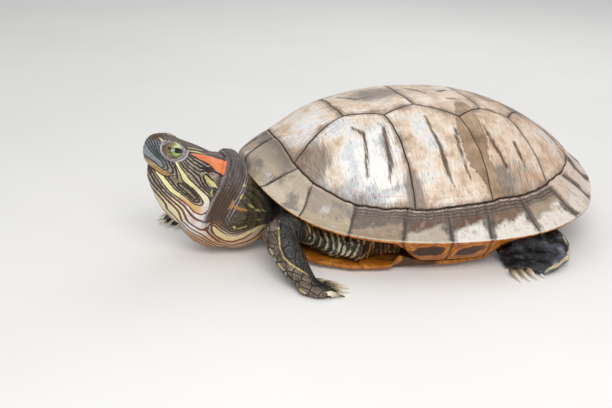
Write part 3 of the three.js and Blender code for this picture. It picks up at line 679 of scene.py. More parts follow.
# %% Finish of the carapace horn
def carapace_horn():
    f = Finish("carapace_horn")
    lay, seam = f.vector("lay"), f["seam"]
    cloud = f.noise(lay, 1.1, 5, 0.55)
    broad = f.noise(lay, 0.45, 2, 0.5)
    streaks = f.noise(f.stretch(lay, (9.0, 0.9, 1.0)), 1.5, 5, 0.65)
    fine = f.noise(f.stretch(lay, (22.0, 1.5, 1.0)), 1.4, 4, 0.65)
    grain = cloud + streaks - 1.0
    # clean horn: cream in front, rosier behind
    pale = f.ramp(cloud, "30 c6aa8e", "45 e6d0b8", "60 f8ecdd")
    rosy = f.ramp(cloud, "30 b98f73", "47 deba9c", "62 f2dac6")
    base = f.mix(f.band(f["aft"] + broad * 0.5, 0.62, 1.0), pale, rosy)
    # chalk where a layer came off, on the first costal partly a painted highlight; slate and brown shade
    # patches darken the horn in listed places, most strongly beside the lower ends of the costal seams
    chalk_and_highlight_tone = f.ramp(f.noise(lay, 1.1, 3), "35 fbf8f2", "50 f6f5f3", "62 dce0e5")
    shade_tone = f.ramp(fine, "35 65584f", "60 8b7d70", "75 b7a898")
    flecks = f.noise(f.stretch(lay, (4.0, 1.2, 1.0)), 1.9, 4, 0.6)
    flecks = flecks + f.band(seam, 14.0, 4.0, 0, 0.04) + f.band(broad, 0.45, 0.6, 0, 0.05)
    scar = f["scar"] + (fine - 0.5) * 5.0
    yearly = f.math("SINE", (seam + broad * 3.0) * 2.9)
    base = f.layers(
        base,
        (f.band(streaks, 0.5, 0.66, 0, 0.7), "a68d78"),
        # chalk, partly painted highlight on the first costal
        (f.band(f["chalk_and_highlight"] + grain * 1.7, 0.1, 0.9), chalk_and_highlight_tone),
        (f.band(f["slate"] + grain * 1.2, 0.2, 0.9, 0, 0.8), f.ramp(fine, "38 8e959c", "60 c3cad1")),
        (f.band(fine, 0.52, 0.66, 0, 0.5), "fdf3e6"),
        (f.band(fine, 0.46, 0.32, 0, 0.5), "997c64"),
        (f.band(f["shade"] + grain * 1.5, 0.2, 1.0, 0, 0.85), shade_tone),
        (f.band(flecks, 0.66, 0.76, 0, 0.6), "705b4b"),
        (f.band(scar, -0.6, 0.9, 0.95, 0), f.ramp(streaks, "40 46301f", "65 7a5b42")),
        (f.band(yearly, 0.5, 0.95) * f.band(seam, 9.0, 2.0, 0, 0.6) * f.band(streaks, 0.35, 0.6), "c49c86"),
        (f.band(seam + grain * 9.0, -1.0, 2.9, 0.8, 0), "7a6a5d"),
    )
    # the one old layer, with a dark edge, and last the seam itself
    patch = f["old_layer"] + (f.noise(lay, 5.0, 2) - 0.5) * 4.0
    patch_tone = f.ramp(cloud * 0.6 + streaks * 0.4, "36 75604c", "50 a3866a", "64 bfa386")
    base = f.layers(
        base,
        (f.band(patch, -0.35, 0.35, 0.95, 0), patch_tone),
        (f.band(abs(patch), 0.0, 0.6, 0.35, 0), "4d4138"),
        (f.band(seam, 0.12, 0.5, 0.9, 0), "6a594c"),
    )
    relief = f.relief(streaks * 0.6 + fine * 0.5, 0.0003, 0.8)
    return f.done(base, f.band(cloud, 0.3, 0.7, 0.4, 0.56), relief, Specular_IOR_Level=0.4)


horn = carapace_horn()
plates = []
for k in range(5):
    plates.append(horn_plate(f"vertebral_{k + 1}", vertebral_outline(k), k + 1.0, horn))
for k in range(4):
    for side, word in ((1, "left"), (-1, "right")):
        plates.append(horn_plate(f"costal_{word}_{k + 1}", costal_outline(k, side), k + 6.5 + side, horn))
print("plates:", len(plates), "faces:", sum(len(p.data.polygons) for p in plates))

# %% [markdown]
# ## The rim
#
# The rim is a ring of marginal plates folded over the edge of the shell: each has a face above, a
# thin lip, and a face below that runs in to the bridge. A grid is the natural start: one way it
# runs round the shell, the other way round the cross-section, and its two long sides are welded.

# %% Marginal plates
# angles of the seams between the marginals, where they meet the rim and where they meet the ring seam
M_RIM = [0.0555, 0.284, 0.593, 0.883, 1.157, 1.398, 1.599, 1.903, 2.255, 2.575, 2.77, 2.955, math.pi]
M_SEAM = [0.0324, 0.355, 0.5, 0.837, 1.175, 1.428, 1.684, 1.934, 2.208, 2.419, 2.732, 2.94, math.pi]
SECTION = 96  # steps round the cross-section
LIP, INNER = 0.5, 0.9  # turn at the lip, and at the inner edge of the lower face
BELOW = 0.8  # how far in from the lip the lower face reaches
TURNS = np.interp(np.arange(SECTION + 1), [0, 4, 34, 50, 84, 96], [0.0, 0.035, 0.44, 0.55, INNER, 1.0])
LAST_ANGLE = math.pi - 0.0035  # the two sides stop just short of each other at the rear
NUCHAL_STEPS = 21


def bridge_drop(s):
    return 0.06 * smooth(0.24, 0.35, s) * (1 - smooth(0.5, 0.66, s))


def rim_surface(rim_angle, seam_angle, turn, lift):
    """Points of the rim, and their share of the way in from the lip.

    turn runs from 0 at the ring seam over LIP and INNER to 1, which is the seam again, from below.
    """
    rim, seam = ring_point(RIM, rim_angle), ring_point(SEAM, seam_angle)
    above = turn < LIP
    q = np.where(above, 1 - turn / LIP, np.clip((turn - LIP) / (INNER - LIP), 0, 1) * BELOW)
    wall = np.clip((turn - INNER) / 0.1, 0, 1)
    q = np.where(turn > INNER, BELOW + 0.185 * wall, q)
    q = np.minimum(q, 1 - 0.0011 / 0.08)
    spot = rim + (seam - rim) * q[:, None]
    drift = np.stack(wander(seam[:, 0], seam[:, 1]), 1) - seam
    spot = spot + drift * smooth(0.15, 1.0, q)[:, None]
    s, side = spot[:, 0], spot[:, 1]
    edge = edge_height(rim[:, 0])
    hang = np.interp(q, [0.0, 0.06, 0.4, 0.78, 1.0], [0.0, 0.0, 0.5, 1.0, 1.0])
    low = edge - np.interp(q, [0, 0.06, 0.4, 0.78, 1], [0.012, 0.012, 0.014, 0.01, 0.01])
    low = low - bridge_drop(rim[:, 0]) * np.where(hang < 0.5, hang * 1.1, 0.55 + (hang - 0.5) * 0.9)
    fold = np.sqrt(np.clip(1 - (1 - np.clip(q / 0.1, 0, 1)) ** 2, 0, 1))
    middle = edge - 0.006
    high = middle + (dome(s, side) - middle) * fold
    low = middle + (low - middle) * fold
    up = np.where(above, high, low)
    up = np.where(turn > INNER, low + (dome(s, side) - 0.0272 - low) * wall, up)
    points = place(0.5 - s, side, up)
    grid = points.reshape(-1, SECTION + 1, 3)
    normal = np.cross(np.gradient(grid, axis=0), np.gradient(grid, axis=1)).reshape(-1, 3)
    normal /= np.maximum(np.linalg.norm(normal, axis=1, keepdims=True), 1e-12)
    outward = points - place((0.5 - s) * 0.9, side * 0.9, edge - 0.01)
    normal *= np.sign((normal * outward).sum(1, keepdims=True))
    return push(points, normal, lift), q


def nuchal_angles():
    """Rim angle, seam angle, plate number and share of the plate, for each row of the nuchal."""
    f = np.linspace(-1, 1, NUCHAL_STEPS)
    return f * M_RIM[0] * 0.985, f * M_SEAM[0] * 0.97, np.zeros(NUCHAL_STEPS), (f + 1) / 2


def marginal_angles(side):
    """The same for the twelve marginals of one side; rows stand closer by the seams."""
    rows = []
    for k in range(12):
        n = max(8, count_for(*ring_point(RIM, np.array(M_RIM[k:k + 2]))))
        f = (1 - np.cos(math.pi * np.arange(n + (k == 11)) / n)) / 2
        f = 0.35 * f + 0.65 * np.arange(len(f)) / n
        angles = [side * np.minimum(m[k] + (m[k + 1] - m[k]) * f, LAST_ANGLE) for m in (M_RIM, M_SEAM)]
        rows.append([*angles, np.full(len(f), k + 1.0), f])
    return [np.concatenate(part) for part in zip(*rows)]


def growth_lines(height, gap, waviness, step, fade):
    """Heights of fine ridges along a seam, dying out away from it; every length in millimetres."""
    return height * np.sin(2 * math.pi * (gap + waviness) / step) * np.exp(-gap / fade)


def rim_strip(name, node, side, material):
    """The marginals of one side, or the nuchal when side is 0."""
    angle_rim, angle_seam, plate, across = marginal_angles(side) if side else nuchal_angles()
    rows = len(angle_rim)
    bm = bmesh.new()
    bmesh.ops.create_grid(bm, x_segments=rows - 1, y_segments=SECTION, size=1)
    grid = np.array([v.co for v in bm.verts])
    i = np.rint((grid[:, 0] + 1) / 2 * (rows - 1)).astype(int)
    j = np.rint((grid[:, 1] + 1) / 2 * SECTION).astype(int)
    order = np.lexsort((j, i))
    row, turn = i[order], TURNS[j[order]]
    a_rim, a_seam, f = angle_rim[row], angle_seam[row], across[row]
    flat, q = rim_surface(a_rim, a_seam, turn, np.zeros(len(turn)))
    first, last = np.searchsorted(plate, plate), np.searchsorted(plate, plate, "right") - 1
    span = np.abs(angle_rim[last] - angle_rim[first])
    gap = np.minimum(f, 1 - f) * np.maximum(mm(span[row] * 0.38), 4)
    above = turn < LIP
    ring_gap = np.where(above, (1 - q) * 17.0, 30.0)
    swell = wrinkle(flat, 0.014, 3.0 + side)
    seams = -0.55 * groove(gap, 0.5) - 0.45 * groove(ring_gap, 0.5)
    growth = growth_lines(0.07, ring_gap, 0.4 * swell, 1.6, 6) + growth_lines(0.05, gap, 0.3 * swell, 1.1, 3)
    lift = np.where(turn < INNER, -0.12 + seams + growth + 0.1 * np.minimum(swell, 0.6), 0)
    moved, q = rim_surface(a_rim, a_seam, turn, lift)
    if side:  # neither side reaches the midline
        fwd, left, up = lengths(moved)
        moved = place(fwd, side * np.maximum(side * left, 0.16 * MM / SHELL), up)
    steps = np.linalg.norm(np.diff(ring_point(RIM, angle_rim), axis=0), axis=1)
    run = np.cumsum(np.concatenate([[0], steps])) * (100 * SHELL)  # centimetres round the rim
    under = np.where(above, 0.0, 1.0)
    stored = dict(plate=plate[row], across=f, gap=gap, ring_gap=ring_gap, out=q, under=under)
    layers = {key: bm.verts.layers.float.new(key) for key in stored}
    lay = bm.verts.layers.float_vector.new("lay")
    bm.verts.ensure_lookup_table()
    for n, index in enumerate(order):
        v = bm.verts[index]
        v.co = moved[n]
        for key, layer in layers.items():
            v[layer] = float(stored[key][n])
        v[lay] = (run[row[n]], float(turn[n]) * 4, 3.0 + side)
    bmesh.ops.remove_doubles(bm, verts=bm.verts, dist=1e-6)
    bmesh.ops.holes_fill(bm, edges=[e for e in bm.edges if e.is_boundary], sides=0)
    return link_piece(name, bm, material, "rim_horn", node)


def rim_horn():
    f = Finish("rim_horn")
    lay, plate, across = f.vector("lay"), f["plate"], f["across"]
    gap, ring_gap, out, under = (f[n] for n in ("gap", "ring_gap", "out", "under"))
    cloud = f.noise(lay, 1.2, 5, 0.62)
    streaks = f.noise(f.stretch(lay, (8.0, 1.2, 1.0)), 1.0, 4, 0.65)
    fine = f.noise(f.stretch(lay, (3.0, 16.0, 1.0)), 1.2, 4, 0.6)
    blush = f.noise(lay, 2.6, 4, 0.6)
    mottle = f.noise(lay, 1.0, 4, 0.55)
    drift = cloud - 0.5
    count = (plate + drift * 1.2) / 12.0
    # the upper face of each plate, from the nape to the tail, and its paler lower face
    high = f.ramp(count, "6 a39687", "17 c3b4a0", "25 a8998a", "33 6f6056", "42 63493a",
                  "54 6b4d3b", "62 8b7461", "69 b9a592", "76 e8d2c1", "90 efd7c5")
    low = f.ramp(count, "6 b3a38f", "17 d0c1ac", "25 b9a88e", "33 9c876f", "42 bfb3a4",
                 "50 ece6df", "66 efe4d9", "90 ecd8ca")
    edge = out + (0.5 - across) * 0.3 + drift * 0.5
    front = f.band(count, 0.36, 0.28)
    # seam stains: soft and widening upward on the side plates, broad dark bars on the rear ones
    spread = f.band(plate, 3.6, 4.6) * f.band(out, 0.1, 0.8, 0.9, 2.6)
    spread = spread + f.band(plate, 6.3, 7.0) * f.band(out, 0.1, 0.8, 1.0, -0.3)
    zone = gap + (cloud + streaks - 1.0) * 6.0 - spread
    # growth lines that follow the costals
    side_plates = f.band(plate, 3.4, 3.9) * f.band(plate, 8.9, 8.4)
    rings = ring_gap + drift * 2.6
    near_ring = f.band(rings, 6.5, 3.0) * side_plates
    wave = f.math("SINE", rings * 4.6)
    patchy = near_ring * f.band(streaks, 0.35, 0.65, 0.15, 0.8)
    # painted highlight: a pink line along the ridge just below the ring seam
    crest_highlight_at = ring_gap + (streaks - 0.5) * 1.2
    crest = f.band(crest_highlight_at, 0.5, 0.9) * f.band(crest_highlight_at, 1.5, 1.0)
    lip = f.band(out, 0.045, 0.015) * f.band(streaks, 0.35, 0.6, 0.1, 0.75)
    base = f.layers(
        f.mix(f.band(edge, 0.4, 0.56), low, high),
        (f.band(streaks, 0.5, 0.7, 0, 0.28), "8d7d6e"),
        (f.band(blush, 0.5, 0.64, 0, 0.4), "b39a86"),
        (f.band(fine, 0.5, 0.72, 0, 0.25) * f.band(out, 0.6, 0.4), "efe5da"),
        (f.band(cloud, 0.42, 0.3, 0, 0.5), "74695f"),
        # front plates: dark mottle, and pale grey mottle that is painted highlight
        (f.band(mottle, 0.52, 0.66, 0, 0.75) * front, "77726f"),
        (f.band(mottle, 0.44, 0.32, 0, 0.7) * front, "d3d4d6"),
        (f.band(ring_gap, 9.0, 1.5) * f.band(plate, 2.2, 1.0, 0, 0.7), "70655d"),
        (f.band(zone, -0.8, 1.6, 0.9, 0), f.ramp(cloud, "38 4d433c", "60 71655b")),
        (f.band(gap, 0.15, 0.6, 0.9, 0), "453b35"),
        (near_ring * 0.85, f.ramp(streaks, "40 4f433b", "65 78695e")),
        (f.band(wave, 0.3, 0.9) * patchy, "352c28"),
        (f.band(wave, -0.8, -0.97) * patchy * 0.45, "cbb4a8"),
        # the pink ridge line, painted highlight
        (crest * f.band(cloud, 0.4, 0.6, 0.15, 0.85), "d3b9ac"),
        (f.band(ring_gap, 0.15, 0.55, 0.85, 0), "543f31"),
        (lip, f.mix(f.band(count, 0.3, 0.5), "dccaa8", "efe6da")),
        (f.band(under, 0.2, 0.8), rim_below(f, cloud, across, out, gap)),
    )
    rough = f.band(under, 0.2, 0.8, 0.45, 0.32)
    return f.done(base, rough, f.relief(fine, 0.00025, 0.8), Specular_IOR_Level=0.4)


def rim_below(f, cloud, across, out, gap):
    """Yellow-orange underside: each plate has a long dark blot with thin loops drawn round it."""
    reach = (across - 0.52) * 9.0
    rise = (out - 0.3) * 20.0 + reach * 0.45
    spot = f.radius(reach, rise) + (cloud - 0.5) * 5.0
    return f.layers(
        f.ramp(cloud, "30 a2500a", "50 c57111", "70 e0952a"),
        (f.band(f.math("SINE", spot * 4.2), 0.2, 0.9, 0, 0.7), "6b3a0d"),
        (f.band(spot, 2.8, 4.2, 0.94, 0), "2a1b10"),
        (f.band(gap, 0.3, 0.9, 0.8, 0), "5a3210"),
    )


rim_finish = rim_horn()
rim = [rim_strip("rim_left", "marginals_left", 1, rim_finish),
       rim_strip("rim_right", "marginals_right", -1, rim_finish),
       rim_strip("rim_nuchal", "cervical", 0, rim_finish)]
print("rim faces:", [len(o.data.polygons) for o in rim])

# %% [markdown]
# ## Drawing one surface over several solids
#
# Flesh has no seams, so the solids of head, neck, trunk, legs and tail become one skin. They could
# be joined by booleans, but a voxel remesh is simpler and surer: swell each copy a little so that
# neighbours touch, rebuild all of them as one grid of small squares, and relax the grid. The same
# recipe gives the belly plate a mesh fine enough for its seams.


# %% Remesh and relax
def bmesh_of(mesh):
    bm = bmesh.new()
    bm.from_mesh(mesh)
    return bm


def merged_copy(node, swell=0.0):
    """bmesh of a node with its loose triangles welded, swollen by millimetres."""
    bm = bmesh_of(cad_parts[node].data)
    bmesh.ops.remove_doubles(bm, verts=bm.verts, dist=2e-5)
    bm.normal_update()
    if swell:
        for v, n in [(v, v.normal.copy()) for v in bm.verts]:
            v.co += n * swell * MM
    return bm


def one_surface(nodes, voxel, swell=0.0):
    """One closed voxel-remeshed bmesh round all the nodes; voxel in millimetres."""
    together = bpy.data.meshes.new("solids")
    bm = bmesh.new()
    for node in nodes:
        part = merged_copy(node, swell)
        part.to_mesh(together)
        part.free()
        bm.from_mesh(together)
    bm.to_mesh(together)
    bm.free()
    obj = link(bpy.data.objects.new("solids", together))
    remesh = obj.modifiers.new("voxels", "REMESH")
    remesh.mode = "VOXEL"
    remesh.voxel_size = voxel * MM
    graph = bpy.context.evaluated_depsgraph_get()
    result = bpy.data.meshes.new_from_object(obj.evaluated_get(graph))
    bpy.data.objects.remove(obj)
    bm = bmesh_of(result)
    bpy.data.meshes.remove(result)
    bpy.data.meshes.remove(together)
    return bm


PULL, PUSH = 0.55, -0.57  # shares of the way to the neighbours' middle


def relaxed(mesh, rounds):
    """Smoothed points of a mesh, not shrunk: each round pulls in, then pushes out a little more."""
    co, (a, b) = vertices(mesh), column(mesh.edges, "vertices", 2, int).T
    degree = np.bincount(np.concatenate([a, b]), minlength=len(co)).astype(float)
    for _ in range(rounds):
        for pull in (PULL, PUSH):
            total = [np.bincount(a, co[b, n], len(co)) + np.bincount(b, co[a, n], len(co)) for n in range(3)]
            co = co + (np.stack(total, 1) / degree[:, None] - co) * pull
    return co


def normals(mesh):
    return column(mesh.vertex_normals, "vector")


# %% Belly plate
BELLY_SEAMS = [0.035, 0.1, 0.23, 0.36, 0.56, 0.74, 0.92]  # from the front: ends of the six pairs of scutes
BLOT_SIDES = (0.05, 0.1, 0.15, 0.15, 0.11, 0.07)  # how far out the dark blot of each scute lies
BRIDGE_BLOT = ([(0.29, 0.262), (0.33, 0.295), (0.415, 0.322)], [0.0, 0.008, 0.0])


def belly_horn():
    f = Finish("belly_horn")
    p = f.position()
    cloud = f.noise(p, 70.0, 4, 0.6)
    blotch = f["blotch"] + (cloud - 0.5) * 9.0
    base = f.layers(
        f.ramp(cloud, "30 9a5510", "52 bb701c", "75 d4943c"),
        (f.band(f.math("SINE", blotch * 1.5), 0.5, 0.9, 0, 0.55), "7a4a1c"),
        (f.band(blotch, 7.0, 8.5, 0.9, 0), "3b2817"),
        (f.band(f["seam"], 0.25, 0.7, 0.85, 0), "4a2f1a"),
    )
    return f.done(base, 0.4, f.relief(f.noise(p, 900.0, 2), 0.00012, 0.6), Specular_IOR_Level=0.45)


bm = one_surface(["plastron"], 1.1)
belly = link_piece("belly_plate", bm, belly_horn(), "belly_horn", "plastron").data
co = relaxed(belly, 8)
fwd, left, up = lengths(co)
s, side = 0.5 - fwd, np.abs(left)
cross_gap = mm(np.min([np.abs(s - (x + 0.012 * np.cos(left * 16))) for x in BELLY_SEAMS[1:-1]], axis=0))
seam = np.minimum(cross_gap, mm(np.abs(left + 0.003 * np.sin(s * 40))))
centres = [((a + b) / 2, out) for a, b, out in zip(BELLY_SEAMS, BELLY_SEAMS[1:], BLOT_SIDES)]
blotch = np.min([np.hypot((s - c) * 1.1, (side - out) * 0.8) for c, out in centres], axis=0)
blotch = np.minimum(blotch, to_line(np.stack([s, side], 1), *BRIDGE_BLOT) + 0.0335)
move_vertices(belly, co)
co = push(co, normals(belly), -0.3 * groove(seam, 0.5))
co[:, 2] = np.maximum(co[:, 2], 0.0)
move_vertices(belly, co)
note(belly, seam=seam, blotch=mm(blotch))
print("belly faces:", len(belly.polygons), "lowest", round(float(co[:, 2].min()) / MM, 2), "mm")

# %% [markdown]
# ## The skin
#
# A slider's skin is thin and soft where it folds and set with small hard scales where it shows.
# The remesh gives its body. Then the grid is made finer only where the eye goes: once on neck,
# legs and tail, and again on the face and along the thin marks. Eyelids, mouth, beak, neck fold
# and pleats are pushed into the surface along its normals, each by a short formula about its place.

# %% Skin body
FLESH = ["trunk", "head", "lower_jaw", "neck_front", "neck_rear", "tail"]
FLESH += [f"{leg}_{side}_{part}" for leg in ("fore", "hind") for side in ("left", "right")
          for part in ("upper", "lower", "foot")]
EYES = ["eye_left", "eye_right"]
SKIN_VOXEL = 1.8  # millimetres
SWELL = 0.45  # millimetres each flesh solid is swollen so that neighbours fuse
SLIMMER = 0.15  # millimetres the skin then lies inside the solids

bm = one_surface(FLESH + EYES, SKIN_VOXEL, SWELL)
print("skin squares:", len(bm.faces))
coarse = bpy.data.meshes.new("skin_coarse")
bm.to_mesh(coarse)
bm.free()
co = relaxed(coarse, 9)
move_vertices(coarse, co)
move_vertices(coarse, co - normals(coarse) * (SWELL + SLIMMER) * MM)
bm = bmesh_of(coarse)
bpy.data.meshes.remove(coarse)


# %% Finer where it shows
def face_region(fwd, left, up):
    return (fwd > 0.63) & (up > 0.19)


def shown_flesh(fwd, left, up):
    """Everything ahead of the shell, behind it, and under its rim except where the bridge closes it."""
    s = 0.5 - fwd
    beside = (np.abs(left) > ring_width(SEAM, np.clip(s, 0.06, 0.93)) - 0.055) & ((s < 0.4) | (s > 0.56))
    shoulder = (s < 0.3) & (np.abs(left) > 0.14)
    return (s < 0.06) | (s > 0.88) | ((beside | shoulder) & (up < 0.14))


def refine(bm, test):
    chosen = test(*lengths(np.array([v.co for v in bm.verts])))
    bm.verts.index_update()
    edges = [e for e in bm.edges if chosen[e.verts[0].index] and chosen[e.verts[1].index]]
    bmesh.ops.subdivide_edges(bm, edges=edges, cuts=1, use_grid_fill=True)


def split_large_faces(bm):
    bmesh.ops.triangulate(bm, faces=[f for f in bm.faces if len(f.verts) > 4])


refine(bm, shown_flesh)
refine(bm, face_region)
split_large_faces(bm)
print("skin faces:", len(bm.faces))

# %% [markdown]
# ## Head and neck
#
# The face carries the animal's character. Its marks lie on the skin like the lines of a map: thin
# dark lines run from the rim of the eye back over the cheek, round the ear and the jaw, and along
# the throat, and the wider gaps between some of them are filled with yellow. A list of short guide
# lines, each with its number counted from the main yellow stripe, is enough to lay them all out: a
# smooth field bends through the guides, and a dark line stands wherever the field is whole. The
# guides lie on the left side and serve both sides. Most of their points were printed by a separate
# ray-casting program and were not chosen by hand. So were some points of the scars and of the leg
# stripes.

# %% Guide lines of head and neck
# A guide is its number, then its points: forward and up, in shell lengths.
GUIDES = [
    # crown
    (9.5, (0.639, 0.282), (0.554, 0.254)),
    (8.5, (0.646, 0.279), (0.59, 0.26), (0.555, 0.252)),
    (7.5, (0.639, 0.272), (0.57, 0.241)),
    # cheek
    (6.5, (0.651, 0.274), (0.641, 0.264), (0.608, 0.242)),
    (5.5, (0.657, 0.273), (0.649, 0.266), (0.612, 0.24)),
    (4.5, (0.665, 0.27), (0.66, 0.262), (0.63, 0.24)),
    (2.5, (0.673, 0.264), (0.667, 0.254), (0.644, 0.232), (0.637, 0.223), (0.625, 0.2), (0.615, 0.191)),
    (1.0, (0.682, 0.263), (0.677, 0.251), (0.651, 0.215), (0.612, 0.173)),
    (0.0, (0.69, 0.263), (0.675, 0.231), (0.67, 0.214), (0.648, 0.195), (0.624, 0.162)),
    (4.8, (0.618, 0.224), (0.604, 0.203), (0.598, 0.198)),
    (4.0, (0.611, 0.195), (0.615, 0.203), (0.623, 0.225), (0.619, 0.229), (0.61, 0.225), (0.596, 0.206)),
    (3.2, (0.629, 0.23), (0.624, 0.235), (0.613, 0.234), (0.602, 0.226), (0.586, 0.205)),
    # snout
    (-4.5, (0.747, 0.293), (0.746, 0.286), (0.74, 0.278), (0.719, 0.255), (0.716, 0.246)),
    (-3.5, (0.741, 0.297), (0.733, 0.283), (0.713, 0.263), (0.706, 0.246)),
    (-2.5, (0.735, 0.298), (0.734, 0.291), (0.724, 0.277)),
    (-2.5, (0.705, 0.264), (0.705, 0.255), (0.696, 0.238)),
    (-1.5, (0.729, 0.298), (0.73, 0.29), (0.727, 0.283), (0.722, 0.278)),
    (-1.5, (0.698, 0.262), (0.691, 0.252), (0.688, 0.242), (0.688, 0.228)),
    (-0.5, (0.723, 0.298), (0.721, 0.283)),
    # jaw
    (0.0, (0.714, 0.226), (0.685, 0.188), (0.649, 0.156), (0.639, 0.152), (0.629, 0.15), (0.623, 0.156),
     (0.627, 0.164)),
    (-1.0, (0.702, 0.218), (0.68, 0.19), (0.649, 0.163), (0.644, 0.159), (0.633, 0.157)),
    (-2.5, (0.673, 0.201), (0.653, 0.186), (0.638, 0.167)),
    (0.5, (0.727, 0.233), (0.692, 0.183), (0.637, 0.141), (0.624, 0.137), (0.616, 0.145), (0.612, 0.158)),
    (1.0, (0.732, 0.234), (0.7, 0.184), (0.686, 0.174), (0.651, 0.142), (0.642, 0.13), (0.627, 0.126),
     (0.615, 0.132), (0.61, 0.145)),
    # throat
    (2.0, (0.735, 0.229), (0.714, 0.192), (0.667, 0.149), (0.652, 0.126), (0.642, 0.116), (0.627, 0.107),
     (0.614, 0.107)),
    (3.0, (0.742, 0.231), (0.731, 0.207), (0.707, 0.174), (0.673, 0.141), (0.657, 0.1), (0.63, 0.084),
     (0.62, 0.081), (0.611, 0.093)),
    (4.0, (0.736, 0.199), (0.7, 0.158), (0.681, 0.137), (0.671, 0.098), (0.655, 0.08), (0.625, 0.07),
     (0.612, 0.056), (0.583, 0.032)),
    (5.0, (0.706, 0.134), (0.685, 0.105), (0.672, 0.08), (0.655, 0.062), (0.625, 0.055), (0.605, 0.038),
     (0.58, 0.014)),
    (9.0, (0.68, 0.03), (0.62, 0.0), (0.56, -0.035)),
    (1.5, (0.6, 0.091), (0.575, 0.065), (0.56, 0.056), (0.545, 0.061), (0.516, 0.078)),
    (2.0, (0.596, 0.16), (0.598, 0.135), (0.601, 0.112), (0.606, 0.093), (0.603, 0.077), (0.578, 0.053),
     (0.558, 0.045), (0.524, 0.056)),
    (1.0, (0.584, 0.161), (0.587, 0.135), (0.583, 0.119), (0.571, 0.107), (0.55, 0.096)),
    (3.0, (0.613, 0.089), (0.609, 0.074), (0.578, 0.044), (0.556, 0.03), (0.528, 0.04)),
]
# A stripe has a place of its own: forward, out from the middle of the head, up, in shell lengths;
# then its half widths in millimetres.
HEAD_STRIPES = dict(yellow=[
    ([(0.619, 0.075, 0.226), (0.61, 0.071, 0.213), (0.598, 0.071, 0.201),
      (0.588, 0.074, 0.192)], [0.3, 1.1, 1.1, 0.3]),
    ([(0.65, 0.044, 0.281), (0.62, 0.036, 0.272), (0.585, 0.03, 0.259),
      (0.557, 0.027, 0.251)], [0.3, 0.5, 0.5, 0.4]),
    ([(0.649, 0.033, 0.285), (0.612, 0.02, 0.272), (0.58, 0.014, 0.262),
      (0.552, 0.014, 0.254)], [0.3, 0.45, 0.45, 0.3]),
    ([(0.725, 0.013, 0.313), (0.716, 0.018, 0.312), (0.71, 0.026, 0.308),
      (0.707, 0.033, 0.303)], [0.2, 0.35, 0.55, 0.4]),
], cream=[
    ([(0.6, 0.078, 0.092), (0.59, 0.076, 0.076), (0.566, 0.07, 0.057), (0.544, 0.081, 0.058),
      (0.52, 0.086, 0.07), (0.492, 0.078, 0.077),
      (0.465, 0.071, 0.079)], [0.7, 1.5, 1.5, 1.2, 1.2, 1.2, 1.0]),
], neck_mark=[
    ([(0.553, 0.075, 0.099), (0.55, 0.087, 0.091), (0.549, 0.091, 0.085)], [0.5, 0.9, 0.4]),
    ([(0.6, 0.075, 0.19), (0.604, 0.075, 0.181), (0.602, 0.077, 0.172)], [0.3, 0.6, 0.7]),
    ([(0.678, 0.06, 0.216), (0.675, 0.061, 0.211)], [0.7, 0.8]),
    ([(0.517, 0.09, 0.15), (0.508, 0.088, 0.142), (0.497, 0.082, 0.133)], [0.2, 0.9, 0.3]),
    ([(0.497, 0.082, 0.128), (0.489, 0.077, 0.126), (0.48, 0.074, 0.12)], [0.2, 0.8, 0.3]),
    ([(0.475, 0.074, 0.123), (0.462, 0.07, 0.115)], [0.6, 0.2]),
    ([(0.5, 0.086, 0.105), (0.485, 0.08, 0.1), (0.468, 0.074, 0.1)], [0.3, 0.7, 0.3]),
    ([(0.56, 0.08, 0.092), (0.54, 0.088, 0.088), (0.52, 0.09, 0.092)], [0.3, 0.7, 0.4]),
], orange=[
    ([(0.548, 0.082, 0.172), (0.554, 0.086, 0.151), (0.57, 0.087, 0.132)], [0.5, 0.8, 0.4]),
    ([(0.553, 0.087, 0.147), (0.541, 0.094, 0.141), (0.519, 0.094, 0.134)], [0.6, 0.8, 0.5]),
], fold_blotch=[
    ([(0.521, 0.085, 0.202), (0.524, 0.087, 0.196)], [0.8, 0.9]),
    ([(0.53, 0.092, 0.174), (0.534, 0.092, 0.167)], [0.7, 0.9]),
], red=[
    ([(0.645, 0.051, 0.276), (0.625, 0.0515, 0.266), (0.591, 0.042, 0.2475),
      (0.5635, 0.049, 0.235)], [0.3, 1.8, 3.3, 4.3]),
])
# Edges in profile: forward and up, then the fold of the neck as up and forward.
MOUTH = np.array([(0.752, 0.252), (0.738, 0.239), (0.723, 0.229), (0.71, 0.219), (0.701, 0.217),
                  (0.69, 0.224)])
BEAK_TOP = np.array([(0.752, 0.262), (0.737, 0.257), (0.722, 0.246), (0.711, 0.237), (0.698, 0.229),
                     (0.69, 0.226)])
CROWN = np.array([(0.5, 0.248), (0.58, 0.26), (0.64, 0.281), (0.67, 0.299), (0.7, 0.308), (0.73, 0.306),
                  (0.75, 0.303)])
FOLD_FRONT = np.array([(0.0, 0.64), (0.1, 0.63), (0.135, 0.615), (0.158, 0.605), (0.19, 0.586), (0.219, 0.57),
                       (0.243, 0.558), (0.27, 0.548)])
FOLD_REAR = np.array([(0.0, 0.565), (0.1, 0.555), (0.15, 0.541), (0.174, 0.528), (0.204, 0.512),
                      (0.25, 0.497), (0.27, 0.492)])
NOSTRILS = np.array([(0.748, -0.009, 0.289), (0.748, 0.009, 0.289)])
EYE = dict(fwd=0.687, side=0.036, up=0.277, radius=5.6)  # the radius in millimetres
GAZE = np.array(Vector((0.22, 1.0, 0.12)).normalized())  # fwd, outward, up
FAR = 9.0  # stands for "nowhere near" a mark
GUIDE_STEP = 2.5  # millimetres between the points that hold the field on a guide
GUIDE_SLACK = 1.5  # how far the field may leave its guides to stay smooth
CHUNK = 20000  # points worked out at a time
CREASE = 1.7  # millimetres from crease to crease on the fold of the neck


